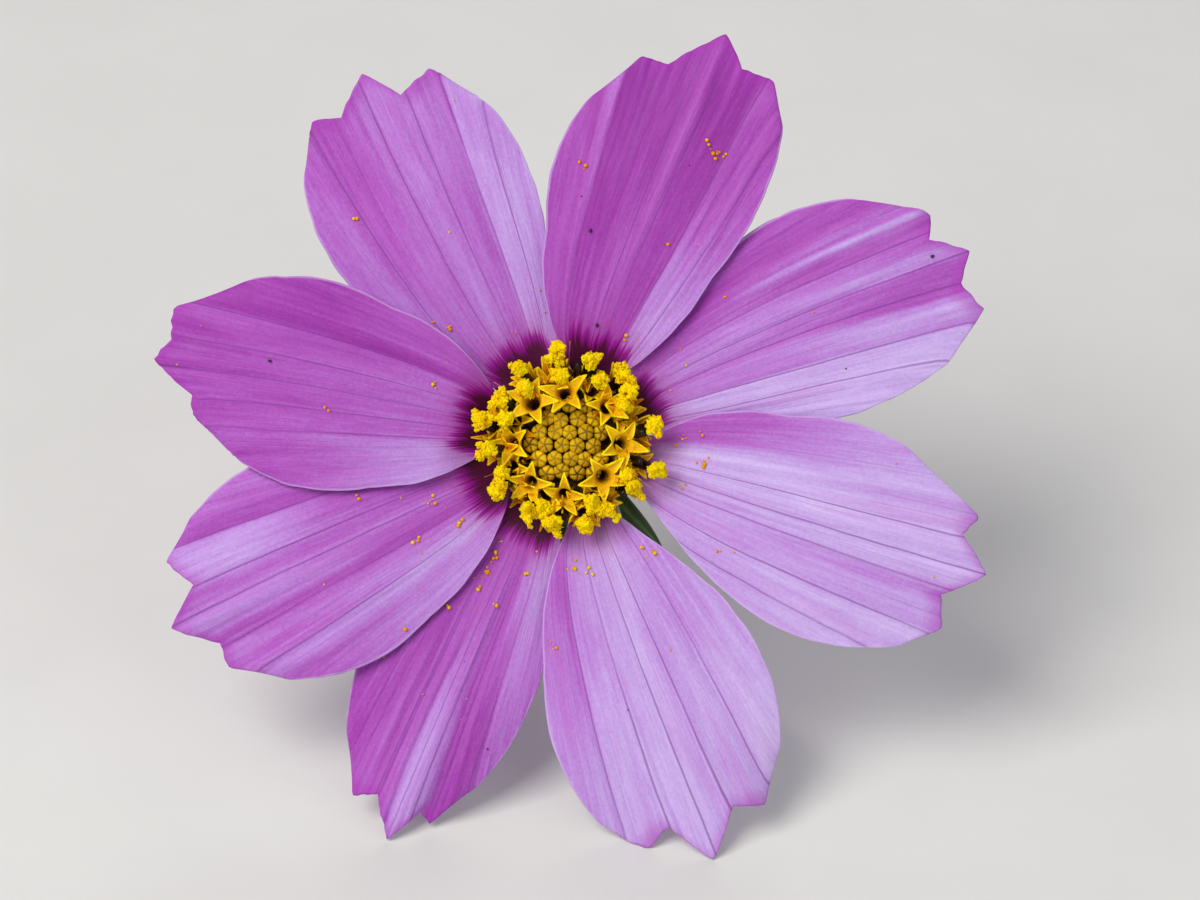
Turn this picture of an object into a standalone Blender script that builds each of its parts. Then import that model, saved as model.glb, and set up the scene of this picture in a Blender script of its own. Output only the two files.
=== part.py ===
"""Cosmos flower, picked with a length of its own bare stalk and laid down on a table.

The flower head leans back on the tips of its two lowest petals, and its stalk bends down behind it
until it lies on the table. The head is modelled face-on in its own frame: U to the right, V up, W out
of the face towards the onlooker, with the origin at the middle of the yellow disc. Lengths in the head
frame are in millimetres. The finished flower is in metres, +Z up, facing -Y, with its origin at the
middle of the bottom of its box.
"""
import math

import bmesh
import bpy
from mathutils import Matrix, Vector

MM = 0.001

# Resting pose
FACE_TILT = 36.0            # degrees that the face looks up above the table
GAP = 0.3                   # air between neighbouring pieces

# Ray petals: height and thickness
PETAL_THICK = 0.3
CLAW_START = 5.3            # distance from the head's middle to a petal's narrow base
CLAW_HEIGHT = 0.3
PETAL_REACH = 36.0
PETAL_RISE = 3.4            # how much higher the tips are than the bases
PETAL_ARCH = 0.9            # how far the long edges droop near the tip
CLAW_TROUGH = 0.9           # how far the edges turn up at the base
LAYER_STEP = 0.9            # height between overlapping petals
LAYER_LENGTH = 5.5          # distance over which a petal climbs to its layer
BASE_WIDTH = 0.02           # how open the width's sine already is at the base
PETAL_ROWS = 10
TOOTH_ROUNDING = 1.5        # 1 makes straight teeth, more makes round teeth with sharp notches
SHOULDER_DROP = 1.6         # how far the outer shoulder lies below the corner tooth
CORNER_START = 0.7          # place across, from 0 to 1, where a corner starts to round down

# Each petal: direction in degrees, layer, then for the left and the right side its widest half-width,
# its half-width at the tip and how far that corner is rounded down, then its teeth from left to right
# as (sideways, reach): tooth, notch, tooth, notch, tooth.
PETALS = (
    (70.0, 1, (9.3, 6.8, 3.9), (8.6, 7.6, 2.6),
     ((5.4, 33.0), (2.9, 33.1), (-0.8, 37.1), (-3.1, 34.8), (-6.2, 34.9))),
    (26.0, 0, (9.4, 6.3, 4.3), (8.8, 7.2, 3.4),
     ((3.8, 36.2), (2.0, 35.3), (-0.4, 37.9), (-2.5, 36.1), (-5.5, 36.8))),
    (-17.5, 1, (8.9, 5.7, 7.1), (9.9, 7.3, 1.6),
     ((4.7, 35.4), (2.6, 34.3), (-0.1, 37.3), (-2.8, 34.2), (-5.8, 35.1))),
    (-70.0, 1, (9.4, 7.1, 3.1), (10.0, 7.6, 2.6),
     ((5.2, 34.7), (2.6, 33.8), (-0.5, 37.5), (-3.1, 33.6), (-6.0, 35.2))),
    (-115.0, 0, (6.7, 4.2, 3.2), (8.3, 5.3, 3.9),
     ((3.1, 34.5), (1.9, 33.8), (0.4, 37.0), (-2.0, 33.9), (-3.8, 35.0))),
    (-155.0, 1, (9.9, 6.9, 3.0), (9.6, 6.8, 2.0),
     ((5.2, 34.3), (3.0, 34.0), (0.1, 37.1), (-2.4, 33.9), (-5.2, 35.2))),
    (167.5, 2, (8.7, 6.1, 3.4), (9.0, 5.5, 4.7),
     ((4.7, 31.6), (3.0, 32.0), (0.7, 35.7), (-1.2, 34.6), (-3.7, 35.0))),
    (119.0, 0, (10.2, 7.8, 3.1), (8.6, 7.0, 3.9),
     ((6.0, 34.5), (3.5, 33.6), (0.1, 35.9), (-1.9, 32.8), (-5.2, 33.6))),
)
FRONT_SUPPORTS = ((3, 0.02), (4, 0.0))   # petals whose middle teeth rest on the table

# Bracts behind the petals
BRACT_THICK = 0.35
INNER_BRACT_START = 4.95
INNER_BRACT_LENGTH = 7.5
INNER_BRACT_HALF = 2.1
OUTER_BRACT_START = 3.55
OUTER_BRACT_LENGTH = 9.0
OUTER_BRACT_HALF = 0.8
OUTER_BRACT_HEIGHT = -2.5
OUTER_BRACT_RISE = 1.3
OUTER_BRACT_TAPER = 0.75    # share of its width that it loses at the tip
OUTER_BRACT_TURN = -6.0     # degrees past the middle of the gap between two petals
BRACT_ROWS = 6

# Disc florets
FLORET_COUNT = 16
FLORET_FOOT = 0.05          # height of the florets' bases
STAR_BASE = 3.4             # distance of a star floret's base from the middle
STAR_LEAN = 20.0
POLLEN_BASE = 4.1
POLLEN_LEAN = 36.0
# Outlines from top to bottom as (radius, height along the floret)
STAR_PROFILE = ((0.0, 3.7), (0.8, 4.35), (0.42, 3.2), (0.4, 1.4), (0.25, 0.7), (0.25, 0.0), (0.0, 0.0))
POLLEN_PROFILE = (
    (0.0, 6.9), (0.7, 6.6), (0.85, 6.0), (0.45, 5.4), (0.45, 4.7),
    (0.65, 4.1), (0.45, 3.0), (0.4, 1.4), (0.25, 0.7), (0.25, 0.0), (0.0, 0.0),
)
FLORET_SIDES = 8

# Unopened florets in the middle
BUD_COUNT = 22
BUD_SPIRAL = 0.72           # a bud lies this far from the middle, times the root of its number
BUD_FIRST = 0.3             # the number of the first bud
BUD_HALF = 0.72
BUD_HEIGHT = 0.4
CUSHION_FOOT = 2.7          # radius at the bottom
CUSHION_HALF = 3.4          # radius at the widest
CUSHION_EDGE = 2.7          # height of the widest place
CUSHION_DOME = 0.9          # how much higher the middle is than the widest place
FOOT_SPREAD = 1.6           # how far the flat bottom spreads out under the cushion
SWELL_START = 3.0           # how fast the buds rise at the cushion's edge
GOLDEN_ANGLE = math.pi * (3.0 - math.sqrt(5.0))

# Stalk: radius down from the head as (height, radius), then an even round stalk
FLARE = (
    (-0.3, 4.35), (-1.1, 4.5), (-1.8, 3.9), (-2.5, 2.9), (-3.2, 2.1),
    (-4.2, 1.6), (-5.6, 1.3), (-7.5, 1.15),
)
STALK_RADIUS = 1.05
STALK_BEND_RADIUS = 60.0
STALK_ON_TABLE = 21.0       # length that lies on the table
STALK_SWAY = 7.0            # how far the far end lies to the right
STALK_STEP = 3.2            # distance between the points of the curve
STALK_ROUNDNESS = 3         # bevel resolution of its cross-section

# Colours
ORCHID = (0.42, 0.13, 0.50)
PALE_ORCHID = (0.50, 0.30, 0.66)
PALE_PETALS = (2, 3, 4)
GREEN = (0.07, 0.16, 0.04)
DARK_GREEN = (0.03, 0.08, 0.02)
STRAW_GREEN = (0.24, 0.26, 0.09)
BUD_YELLOW = (0.48, 0.32, 0.02)
STAR_YELLOW = (0.80, 0.45, 0.01)
POLLEN_YELLOW = (0.95, 0.52, 0.01)
DULL = 0.6                  # roughness of dry and powdery pieces
SATIN = 0.5                 # roughness of petals and green pieces


def smooth(value):
    """Ease from 0 to 1 with a level start and end."""
    held = min(max(value, 0.0), 1.0)
    return held * held * (3.0 - 2.0 * held)


def material(name, colour, roughness):
    finish = bpy.data.materials.new(name)
    finish.use_nodes = True
    shader = finish.node_tree.nodes["Principled BSDF"]
    shader.inputs["Base Color"].default_value = (*colour, 1.0)
    shader.inputs["Roughness"].default_value = roughness
    shader.inputs["Metallic"].default_value = 0.0
    return finish


def add_object(name, data, finish, parent):
    piece = bpy.data.objects.new(name, data)
    flower_pieces.objects.link(piece)
    data.materials.append(finish)
    piece.parent = parent
    return piece


def add_mesh(name, shape, finish, parent):
    mesh = bpy.data.meshes.new(name)
    shape.to_mesh(mesh)
    shape.free()
    piece = add_object(name, mesh, finish, parent)
    mesh.shade_smooth()
    return piece


def thicken(piece, thickness):
    wall = piece.modifiers.new("thickness", "SOLIDIFY")
    wall.thickness = thickness * MM
    wall.offset = 0.0


def grid_sheet(name, rows, across, point, finish, parent):
    """A sheet whose columns stand at the given places across, from its base to its tip."""
    shape = bmesh.new()
    columns = len(across) - 1
    bmesh.ops.create_grid(shape, x_segments=columns, y_segments=rows, size=0.5)
    for vertex in shape.verts:
        column = round((vertex.co.x + 0.5) * columns)
        along = vertex.co.y + 0.5
        vertex.co = point(along, across[column]) * MM
    return add_mesh(name, shape, finish, parent)


# ---- petals ----

def across_places(petal):
    """Columns at the shoulders, teeth and notches, and halfway between them, from -1 to 1."""
    _, _, left, right, teeth = petal
    places = [1.0]
    for sideways, _ in teeth:
        places.append(sideways / (left[1] if sideways > 0.0 else right[1]))
    places.append(-1.0)
    halfway = [(a + b) / 2.0 for a, b in zip(places, places[1:])]
    return sorted(places + halfway)


def tip_reach(petal, across):
    """How far the toothed end reaches at a place across the petal."""
    _, _, left, right, teeth = petal
    sideways = across * (left[1] if across > 0.0 else right[1])
    marks = [(left[1], teeth[0][1] - SHOULDER_DROP)]
    marks.extend(teeth)
    marks.append((-right[1], teeth[-1][1] - SHOULDER_DROP))
    for index, (first, second) in enumerate(zip(marks, marks[1:])):
        if sideways >= second[0] - 1e-6:
            tooth, notch = (second, first) if index % 2 == 0 else (first, second)
            share = abs(sideways - tooth[0]) / abs(notch[0] - tooth[0])
            return tooth[1] - (tooth[1] - notch[1]) * share ** TOOTH_ROUNDING
    return marks[-1][1]


def corner_pull(petal, along, across):
    """How far a rounded corner pulls a point in: a share of the half-width, and a length."""
    side = petal[2] if across > 0.0 else petal[3]
    share = min(max((abs(across) - CORNER_START) / (1.0 - CORNER_START), 0.0), 1.0)
    rounded = side[2] / (tip_reach(petal, across) - CLAW_START)
    run = min(max((along - 1.0 + rounded) / rounded, 0.0), 1.0)
    inward = (1.0 - CORNER_START) * share * (1.0 - math.sqrt(1.0 - 0.5 * run * run))
    return math.copysign(inward, across), side[2] * run * (1.0 - math.sqrt(1.0 - 0.5 * share * share))


def petal_height(layer, reach, across):
    """Height of a petal's middle surface at a distance from the head's middle."""
    share = (reach - CLAW_START) / (PETAL_REACH - CLAW_START)
    rise = PETAL_RISE * (1.0 - (1.0 - share) ** 2)
    climb = layer * LAYER_STEP * smooth((reach - CLAW_START) / LAYER_LENGTH)
    curl = (CLAW_TROUGH * (1.0 - share) ** 3 - PETAL_ARCH * share) * across ** 2
    return CLAW_HEIGHT + rise + climb + curl


def petal_point(petal, along, across):
    """A point of a petal's middle surface in the head frame."""
    azimuth, layer, left, right, _ = petal
    widest, shoulder, _ = left if across > 0.0 else right
    taper = 1.0 - BASE_WIDTH - math.asin(shoulder / widest) / math.pi
    half = widest * math.sin(math.pi * (BASE_WIDTH + taper * along))
    inward, down = corner_pull(petal, along, across)
    reach = CLAW_START + along * (tip_reach(petal, across) - CLAW_START) - down
    height = petal_height(layer, reach, across)
    return turn_out(azimuth, Vector((reach, (across - inward) * half, height)))


def turn_out(azimuth, point):
    """Turn a point drawn along U to the direction that its piece points in."""
    return Matrix.Rotation(math.radians(azimuth), 3, "Z") @ point


def add_petals(head):
    """Eight petals with three-toothed tips, overlapping in three layers."""
    for number, petal in enumerate(PETALS, start=1):
        colour = PALE_ORCHID if number in PALE_PETALS else ORCHID
        finish = material(f"petal_{number}_skin", colour, SATIN)

        def point(along, across, petal=petal):
            return petal_point(petal, along, across)

        piece = grid_sheet(f"petal_{number}", PETAL_ROWS, across_places(petal), point, finish, head)
        thicken(piece, PETAL_THICK)


# ---- bracts ----

def inner_bract_point(petal, along, across):
    """An oval bract that lies close under its petal."""
    azimuth, layer, _, _, _ = petal
    reach = INNER_BRACT_START + along * INNER_BRACT_LENGTH
    half = INNER_BRACT_HALF * math.sqrt(math.sin(math.pi * (0.1 + 0.88 * along)))
    below = (PETAL_THICK + BRACT_THICK) / 2.0 + GAP + 0.1
    height = petal_height(layer, max(reach, CLAW_START), 0.0) - below
    return turn_out(azimuth, Vector((reach, across * half, height)))


def outer_bract_point(azimuth, along, across):
    """A narrow green bract that spreads between two petals."""
    reach = OUTER_BRACT_START + along * OUTER_BRACT_LENGTH
    half = OUTER_BRACT_HALF * (1.0 - OUTER_BRACT_TAPER * along ** 2)
    height = OUTER_BRACT_HEIGHT + OUTER_BRACT_RISE * math.sin(math.pi * 0.62 * along)
    return turn_out(azimuth, Vector((reach, across * half, height)))


def add_bracts(head):
    """Eight papery bracts under the petals and eight green ones that alternate with them."""
    azimuths = [petal[0] for petal in PETALS]
    for number, petal in enumerate(PETALS, start=1):
        papery = material(f"inner_bract_{number}_skin", STRAW_GREEN, DULL)

        def inner(along, across, petal=petal):
            return inner_bract_point(petal, along, across)

        piece = grid_sheet(f"inner_bract_{number}", BRACT_ROWS, (-1.0, -0.5, 0.5, 1.0), inner, papery, head)
        thicken(piece, BRACT_THICK)

        following = azimuths[number % len(azimuths)]
        step = (azimuths[number - 1] - following) % 360.0
        middle = azimuths[number - 1] - step / 2.0 + OUTER_BRACT_TURN
        leafy = material(f"outer_bract_{number}_skin", DARK_GREEN, SATIN)

        def outer(along, across, middle=middle):
            return outer_bract_point(middle, along, across)

        piece = grid_sheet(f"outer_bract_{number}", BRACT_ROWS, (-1.0, 0.0, 1.0), outer, leafy, head)
        thicken(piece, BRACT_THICK)


# ---- disc florets ----

def add_turned_ring(name, profile, base, lean, turn, finish_colour, head):
    """A ring of equal turned florets that lean outwards."""
    mesh = bpy.data.meshes.new(name)
    shape = bmesh.new()
    corners = [shape.verts.new((radius * MM, 0.0, height * MM)) for radius, height in profile]
    for upper, lower in zip(corners, corners[1:]):
        shape.edges.new((upper, lower))
    shape.to_mesh(mesh)
    shape.free()
    mesh.materials.append(material(f"{name}_skin", finish_colour, DULL))
    for number in range(1, FLORET_COUNT + 1):
        azimuth = math.radians(turn + (number - 1) * 360.0 / FLORET_COUNT)
        piece = bpy.data.objects.new(f"{name}_{number}", mesh)
        flower_pieces.objects.link(piece)
        piece.parent = head
        lathe = piece.modifiers.new("turn", "SCREW")
        lathe.steps = FLORET_SIDES
        lathe.render_steps = FLORET_SIDES
        lathe.use_merge_vertices = True
        lathe.merge_threshold = 0.00001
        lathe.use_smooth_shade = True
        piece.rotation_euler = (0.0, math.radians(lean), azimuth)
        foot = Vector((base * math.cos(azimuth), base * math.sin(azimuth), FLORET_FOOT))
        piece.location = foot * MM


def bud_swell(place):
    """Height of the nearest unopened floret's round top over the cushion."""
    swell = 0.0
    for index in range(BUD_COUNT):
        distance = BUD_SPIRAL * math.sqrt(index + BUD_FIRST)
        angle = index * GOLDEN_ANGLE
        bud = Vector((distance * math.cos(angle), distance * math.sin(angle)))
        away = (place - bud).length / BUD_HALF
        swell = max(swell, BUD_HEIGHT * (1.0 - away ** 2))
    return swell


def add_closed_florets(head):
    """The cushion of unopened florets in the middle of the disc, grown together as one piece."""
    shape = bmesh.new()
    bmesh.ops.create_uvsphere(shape, u_segments=36, v_segments=24, radius=1.0)
    for vertex in shape.verts:
        side = Vector((vertex.co.x, vertex.co.y))
        level = vertex.co.z
        if level > 0.0:
            place = side * CUSHION_HALF
            height = CUSHION_EDGE + CUSHION_DOME * (1.0 - side.length_squared)
            height += bud_swell(place) * smooth(SWELL_START * level)
        else:
            # the lower half is drawn out into a tapering foot with a flat bottom
            radius = CUSHION_HALF + (CUSHION_HALF - CUSHION_FOOT) * level
            place = side * radius * min(1.0 / max(side.length, 1e-6), FOOT_SPREAD)
            height = CUSHION_EDGE + level * (CUSHION_EDGE - FLORET_FOOT)
        vertex.co = Vector((place.x, place.y, height)) * MM
    add_mesh("closed_florets", shape, material("closed_florets_skin", BUD_YELLOW, DULL), head)


# ---- stalk ----

def stalk_points(head_matrix):
    """Points down the stalk in world space, in metres, each with its radius in millimetres."""
    points = [(head_matrix @ (Vector((0.0, 0.0, height)) * MM), radius) for height, radius in FLARE]
    down = -(head_matrix.to_3x3() @ Vector((0.0, 0.0, 1.0)))
    slope = math.asin(-down.z)
    level = Vector((down.x, down.y, 0.0)).normalized()
    sideways = level.cross(Vector((0.0, 0.0, 1.0)))
    start = points[-1][0]
    bend = STALK_BEND_RADIUS * MM
    drop = start.z - STALK_RADIUS * MM - bend * (1.0 - math.cos(slope))
    straight = drop / math.sin(slope)
    arc = bend * slope
    total = straight + arc + STALK_ON_TABLE * MM
    count = round(total / (STALK_STEP * MM))
    for index in range(1, count + 1):
        run = total * index / count
        if run < straight:
            place = start + down * run
        else:
            turned = min((run - straight) / bend, slope)
            corner = start + down * straight
            forward = bend * (math.sin(slope) - math.sin(slope - turned))
            fall = bend * (math.cos(slope - turned) - math.cos(slope))
            past = max(run - straight - arc, 0.0)
            place = corner + level * (forward + past) - Vector((0.0, 0.0, fall))
        place = place + sideways * STALK_SWAY * MM * smooth(run / total)
        points.append((place, STALK_RADIUS))
    return points


def add_stalk(head, parent):
    """The bare stalk, which widens at its top into the seat of the flower, as one grown piece."""
    route = stalk_points(head.matrix_world)
    curve = bpy.data.curves.new("stem", "CURVE")
    curve.dimensions = "3D"
    curve.bevel_depth = MM
    curve.bevel_resolution = STALK_ROUNDNESS
    curve.use_fill_caps = True
    spline = curve.splines.new("POLY")
    spline.points.add(len(route) - 1)
    for point, (place, radius) in zip(spline.points, route):
        point.co = (*place, 1.0)
        point.radius = radius
    add_object("stem", curve, material("stem_skin", GREEN, SATIN), parent)


# ---- resting pose ----

def head_rotation():
    """Turn the head frame so that the two lowest teeth are level and the face leans back."""
    first, second = (petal_point(PETALS[index], 1.0, across) for index, across in FRONT_SUPPORTS)
    along = (first - second).normalized()
    upright = Vector((0.0, 1.0, 0.0))
    across = (upright - along * upright.dot(along)).normalized()
    outward = along.cross(across)
    tilt = math.radians(FACE_TILT)
    normal = across * math.cos(tilt) + outward * math.sin(tilt)
    return Matrix((along, normal.cross(along), normal))


def corners(pieces):
    """Lowest and highest corners of the finished pieces in world space."""
    bpy.context.view_layer.update()
    graph = bpy.context.evaluated_depsgraph_get()
    places = []
    for piece in pieces:
        finished = piece.evaluated_get(graph)
        mesh = finished.to_mesh()
        places.extend(finished.matrix_world @ vertex.co for vertex in mesh.vertices)
        finished.to_mesh_clear()
    low = Vector([min(place[axis] for place in places) for axis in range(3)])
    high = Vector([max(place[axis] for place in places) for axis in range(3)])
    return low, high


for old in list(bpy.data.objects):
    bpy.data.objects.remove(old, do_unlink=True)

flower_pieces = bpy.data.collections.new("cosmos_flower")
bpy.context.scene.collection.children.link(flower_pieces)

resting_place = bpy.data.objects.new("resting_place", None)
flower_pieces.objects.link(resting_place)
flower_head = bpy.data.objects.new("flower_head", None)
flower_pieces.objects.link(flower_head)
flower_head.parent = resting_place
flower_head.matrix_local = head_rotation().to_4x4()

add_petals(flower_head)
add_bracts(flower_head)
add_closed_florets(flower_head)
half_pitch = 180.0 / FLORET_COUNT
add_turned_ring("star_floret", STAR_PROFILE, STAR_BASE, STAR_LEAN, 0.0, STAR_YELLOW, flower_head)
add_turned_ring("pollen_floret", POLLEN_PROFILE, POLLEN_BASE, POLLEN_LEAN, half_pitch, POLLEN_YELLOW,
                flower_head)

head_low, _ = corners([piece for piece in flower_pieces.objects if piece.type == "MESH"])
flower_head.location.z -= head_low.z
bpy.context.view_layer.update()
add_stalk(flower_head, resting_place)

low, high = corners([piece for piece in flower_pieces.objects if piece.type in {"MESH", "CURVE"}])
resting_place.location = Vector((-(low.x + high.x) / 2.0, -(low.y + high.y) / 2.0, -low.z))
bpy.context.view_layer.update()
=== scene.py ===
"""A garden cosmos in flower, picked with its stalk and laid down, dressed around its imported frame.

The sections follow the flower as it grows: the stalk, the bracts, the petals, then the florets of the
disc from the middle outwards. Lengths on the flower's head are in millimetres in its own axes: U to the
right of the face, V up the face and W out of it, from the middle of the disc.
"""
import math
import random

import bmesh
import bpy
from mathutils import Matrix, Vector, noise


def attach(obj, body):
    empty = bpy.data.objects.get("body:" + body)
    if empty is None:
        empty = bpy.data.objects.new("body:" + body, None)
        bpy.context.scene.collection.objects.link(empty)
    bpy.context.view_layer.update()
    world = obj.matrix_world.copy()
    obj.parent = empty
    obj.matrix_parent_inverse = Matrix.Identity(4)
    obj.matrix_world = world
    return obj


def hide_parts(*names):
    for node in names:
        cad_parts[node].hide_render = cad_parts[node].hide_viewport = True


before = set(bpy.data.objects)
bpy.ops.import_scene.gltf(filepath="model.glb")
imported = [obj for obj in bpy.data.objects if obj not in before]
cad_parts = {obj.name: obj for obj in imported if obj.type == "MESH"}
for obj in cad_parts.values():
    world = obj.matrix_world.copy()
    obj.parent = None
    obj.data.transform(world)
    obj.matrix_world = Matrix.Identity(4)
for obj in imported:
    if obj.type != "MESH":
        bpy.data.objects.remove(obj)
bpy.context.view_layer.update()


# ---- The head's place ----
# The disc sits square on the end of the stalk, so the ring of star florets around its middle gives
# the middle of the head and the way that its face looks. The first floret of the ring is to the right.
MM = 0.001
RING_COUNT = 16


def node_corners(node):
    return [corner.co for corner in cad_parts[node].data.vertices]


def mean(places):
    return sum(places, Vector()) / len(places)


ring_corners = [node_corners(f"star_floret_{number}") for number in range(1, RING_COUNT + 1)]
ring_middle = mean([mean(corners) for corners in ring_corners])
spokes = [mean(corners) - ring_middle for corners in ring_corners]
face_out = sum((a.cross(b) for a, b in zip(spokes, spokes[1:])), Vector()).normalized()
face_right = (spokes[0] - face_out * spokes[0].dot(face_out)).normalized()
face_up = face_out.cross(face_right)
feet = min((corner - ring_middle).dot(face_out) for corners in ring_corners for corner in corners)
head = Matrix((face_right, face_up, face_out)).transposed().to_4x4()
head.translation = ring_middle + face_out * feet


def on_head(point):
    """World place of a point given in millimetres on the head."""
    return head @ (Vector(point) * MM)


def turn_out(azimuth, point):
    """Turn a point drawn along U to the direction in degrees that its piece points in."""
    return Matrix.Rotation(math.radians(azimuth), 3, "Z") @ Vector(point)


# ---- Stalk ----
# A bare, finely ribbed green stalk about 2 mm thick. It widens at its top into the seat that carries
# the whole flower, bends down behind the head and lies on the table, where its cut end shows the pith.
STALK_RADIUS = 1.05
FLARE_TOP = -0.3
FLARE_RIM = -1.1
FLARE_SPREAD = 3.4
FLARE_FALL = 1.55
FLARE_POWER = 1.25
STALK_START = -7.5
STALK_BEND_RADIUS = 60.0
STALK_ON_TABLE = 21.0
STALK_SWAY = 7.0
RIB_COUNT = 9
RIB_DEPTH = 0.05
RIB_FADE = 3.0
STALK_SIDES = 72
STALK_ROWS = 220
SHARP_ANGLE = 50.0


def smooth(value):
    """Ease from 0 to 1 with a level start and end."""
    held = min(max(value, 0.0), 1.0)
    return held * held * (3.0 - 2.0 * held)


def add_bar(shape, sides, rows, lay):
    """Add a closed round bar, laid by lay(vertex, run from 0 to 1, angle, 1 on the side or 0 mid-end)."""
    rings = rows + 2
    for vertex in bmesh.ops.create_uvsphere(shape, u_segments=sides, v_segments=rings, radius=1.0)["verts"]:
        ring = round(math.acos(min(max(vertex.co.z, -1.0), 1.0)) / math.pi * rings)
        run = min(max(1.0 - (ring - 1) / rows, 0.0), 1.0)
        wide = 0.0 if ring in (0, rings) else 1.0
        vertex.co = lay(vertex, run, math.atan2(vertex.co.y, vertex.co.x), wide)


def add_piece(name, shape, finishes, nodes=()):
    """Make a bmesh a smooth piece of the flower, which stands for the named CAD nodes."""
    mesh = bpy.data.meshes.new(name)
    shape.to_mesh(mesh)
    shape.free()
    for finish in finishes:
        mesh.materials.append(finish)
    mesh.shade_smooth()
    piece = bpy.data.objects.new(name, mesh)
    bpy.context.scene.collection.objects.link(piece)
    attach(piece, "root")
    if nodes:
        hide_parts(*nodes)
    return piece


def add_node(tree, kind, values=(), **settings):
    """Add a shader node, with values or links for its inputs given by name or number."""
    fresh = tree.nodes.new("ShaderNode" + kind)
    for name, value in settings.items():
        setattr(fresh, name, value)
    for socket, value in dict(values).items():
        if isinstance(value, bpy.types.NodeSocket):
            tree.links.new(value, fresh.inputs[socket])
        else:
            fresh.inputs[socket].default_value = value
    return fresh


def calc(tree, operation, first, second=0.0, third=0.0):
    return add_node(tree, "Math", {0: first, 1: second, 2: third}, operation=operation).outputs[0]


def eased(tree, value, low, high, start=0.0, end=1.0):
    """A value that eases from start to end as the given one goes from low to high."""
    values = {"Value": value, "From Min": low, "From Max": high, "To Min": start, "To Max": end}
    return add_node(tree, "MapRange", values, interpolation_type="SMOOTHSTEP").outputs["Result"]


def evenly(tree, value, low, high):
    """A value that goes evenly from 0 to 1 as the given one goes from low to high."""
    values = {"Value": value, "From Min": low, "From Max": high}
    return add_node(tree, "MapRange", values).outputs["Result"]


def mixed(tree, share, first, second, blend="MIX"):
    """Two colours mixed by a share from 0 to 1."""
    values = {0: share, 6: first, 7: second}
    return add_node(tree, "Mix", values, data_type="RGBA", blend_type=blend).outputs[2]


def grain(tree, place, scale, detail=2.0, roughness=0.55):
    """Noise from 0 to 1 at a place."""
    values = {"Vector": place, "Scale": scale, "Detail": detail, "Roughness": roughness}
    return add_node(tree, "TexNoise", values).outputs["Fac"]


def swayed(tree, value, pattern, strength):
    """A value that a pattern from 0 to 1 pushes up and down by half the strength."""
    change = calc(tree, "MULTIPLY", calc(tree, "SUBTRACT", pattern, 0.5), strength)
    return calc(tree, "ADD", value, change)


def own_place(tree):
    """A piece's own coordinates, in metres."""
    return add_node(tree, "TexCoord").outputs["Object"]


def attribute(tree, name):
    return add_node(tree, "Attribute", attribute_name=name).outputs


def stretched(tree, place, factors):
    """A place stretched by three factors, for a pattern that runs along a piece."""
    values = {0: place, 1: factors}
    return add_node(tree, "VectorMath", values, operation="MULTIPLY").outputs[0]


def colour(red, green, blue):
    return (red, green, blue, 1.0)


def new_material(name, **values):
    """A Principled material with plain values, given with _ for each space in the socket's name."""
    finish = bpy.data.materials.new(name)
    finish.use_nodes = True
    shader = finish.node_tree.nodes["Principled BSDF"]
    for socket, value in values.items():
        shader.inputs[socket.replace("_", " ")].default_value = value
    return finish, finish.node_tree, shader


def bump(tree, shader, height, distance, strength=1.0):
    values = {"Height": height, "Distance": distance, "Strength": strength}
    tree.links.new(add_node(tree, "Bump", values).outputs[0], shader.inputs["Normal"])


# The stalk's middle line: straight down behind the head, round a wide bend, then along the table
stalk_start = on_head((0.0, 0.0, STALK_START))
stalk_down = -face_out
stalk_slope = math.asin(-stalk_down.z)
stalk_level = Vector((stalk_down.x, stalk_down.y, 0.0)).normalized()
stalk_bend = STALK_BEND_RADIUS * MM
bend_fall = stalk_bend * (1.0 - math.cos(stalk_slope))
stalk_straight = (stalk_start.z - STALK_RADIUS * MM - bend_fall) / math.sin(stalk_slope)
stalk_arc = stalk_bend * stalk_slope
stalk_total = stalk_straight + stalk_arc + STALK_ON_TABLE * MM


def stalk_place(length):
    """Place on the stalk's middle line at a length in metres from the underside of the flare."""
    if length < stalk_straight:
        place = stalk_start + stalk_down * length
    else:
        turned = min((length - stalk_straight) / stalk_bend, stalk_slope)
        forward = stalk_bend * (math.sin(stalk_slope) - math.sin(stalk_slope - turned))
        fall = stalk_bend * (math.cos(stalk_slope - turned) - math.cos(stalk_slope))
        past = max(length - stalk_straight - stalk_arc, 0.0)
        place = stalk_start + stalk_down * stalk_straight
        place += stalk_level * (forward + past) - Vector((0.0, 0.0, fall))
    sideways = stalk_level.cross(Vector((0.0, 0.0, 1.0)))
    return place + sideways * STALK_SWAY * MM * smooth(length / stalk_total)


def lay_stalk(vertex, run, angle, wide):
    """Place of a point of the stalk's skin: run 1 at the flower's seat, 0 at the cut end."""
    flare = (FLARE_TOP - STALK_START) * MM
    length = (stalk_total + flare) * (1.0 - run) ** 1.5 - flare
    if length < 0.0:
        middle = stalk_start + stalk_down * length
        ahead = stalk_down
    else:
        middle = stalk_place(length)
        ahead = (stalk_place(length + MM) - stalk_place(length)).normalized()
    below = FLARE_RIM - (STALK_START - length / MM)
    radius = STALK_RADIUS + FLARE_SPREAD * math.exp(-((max(below, 0.0) / FLARE_FALL) ** FLARE_POWER))
    rib = math.cos(RIB_COUNT * angle)
    radius *= 1.0 + RIB_DEPTH * rib * smooth(below / RIB_FADE)
    radius *= 1.0 + 0.02 * noise.noise(Vector((0.0, 0.0, length * 120.0)))
    across = ahead.cross(Vector((1.0, 0.0, 0.0))).normalized()
    upright = across.cross(ahead)
    vertex[stalk_rib] = rib
    vertex[stalk_spot] = (math.cos(angle), math.sin(angle), length / MM)
    return middle + (upright * math.cos(angle) + across * math.sin(angle)) * radius * wide * MM


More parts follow.
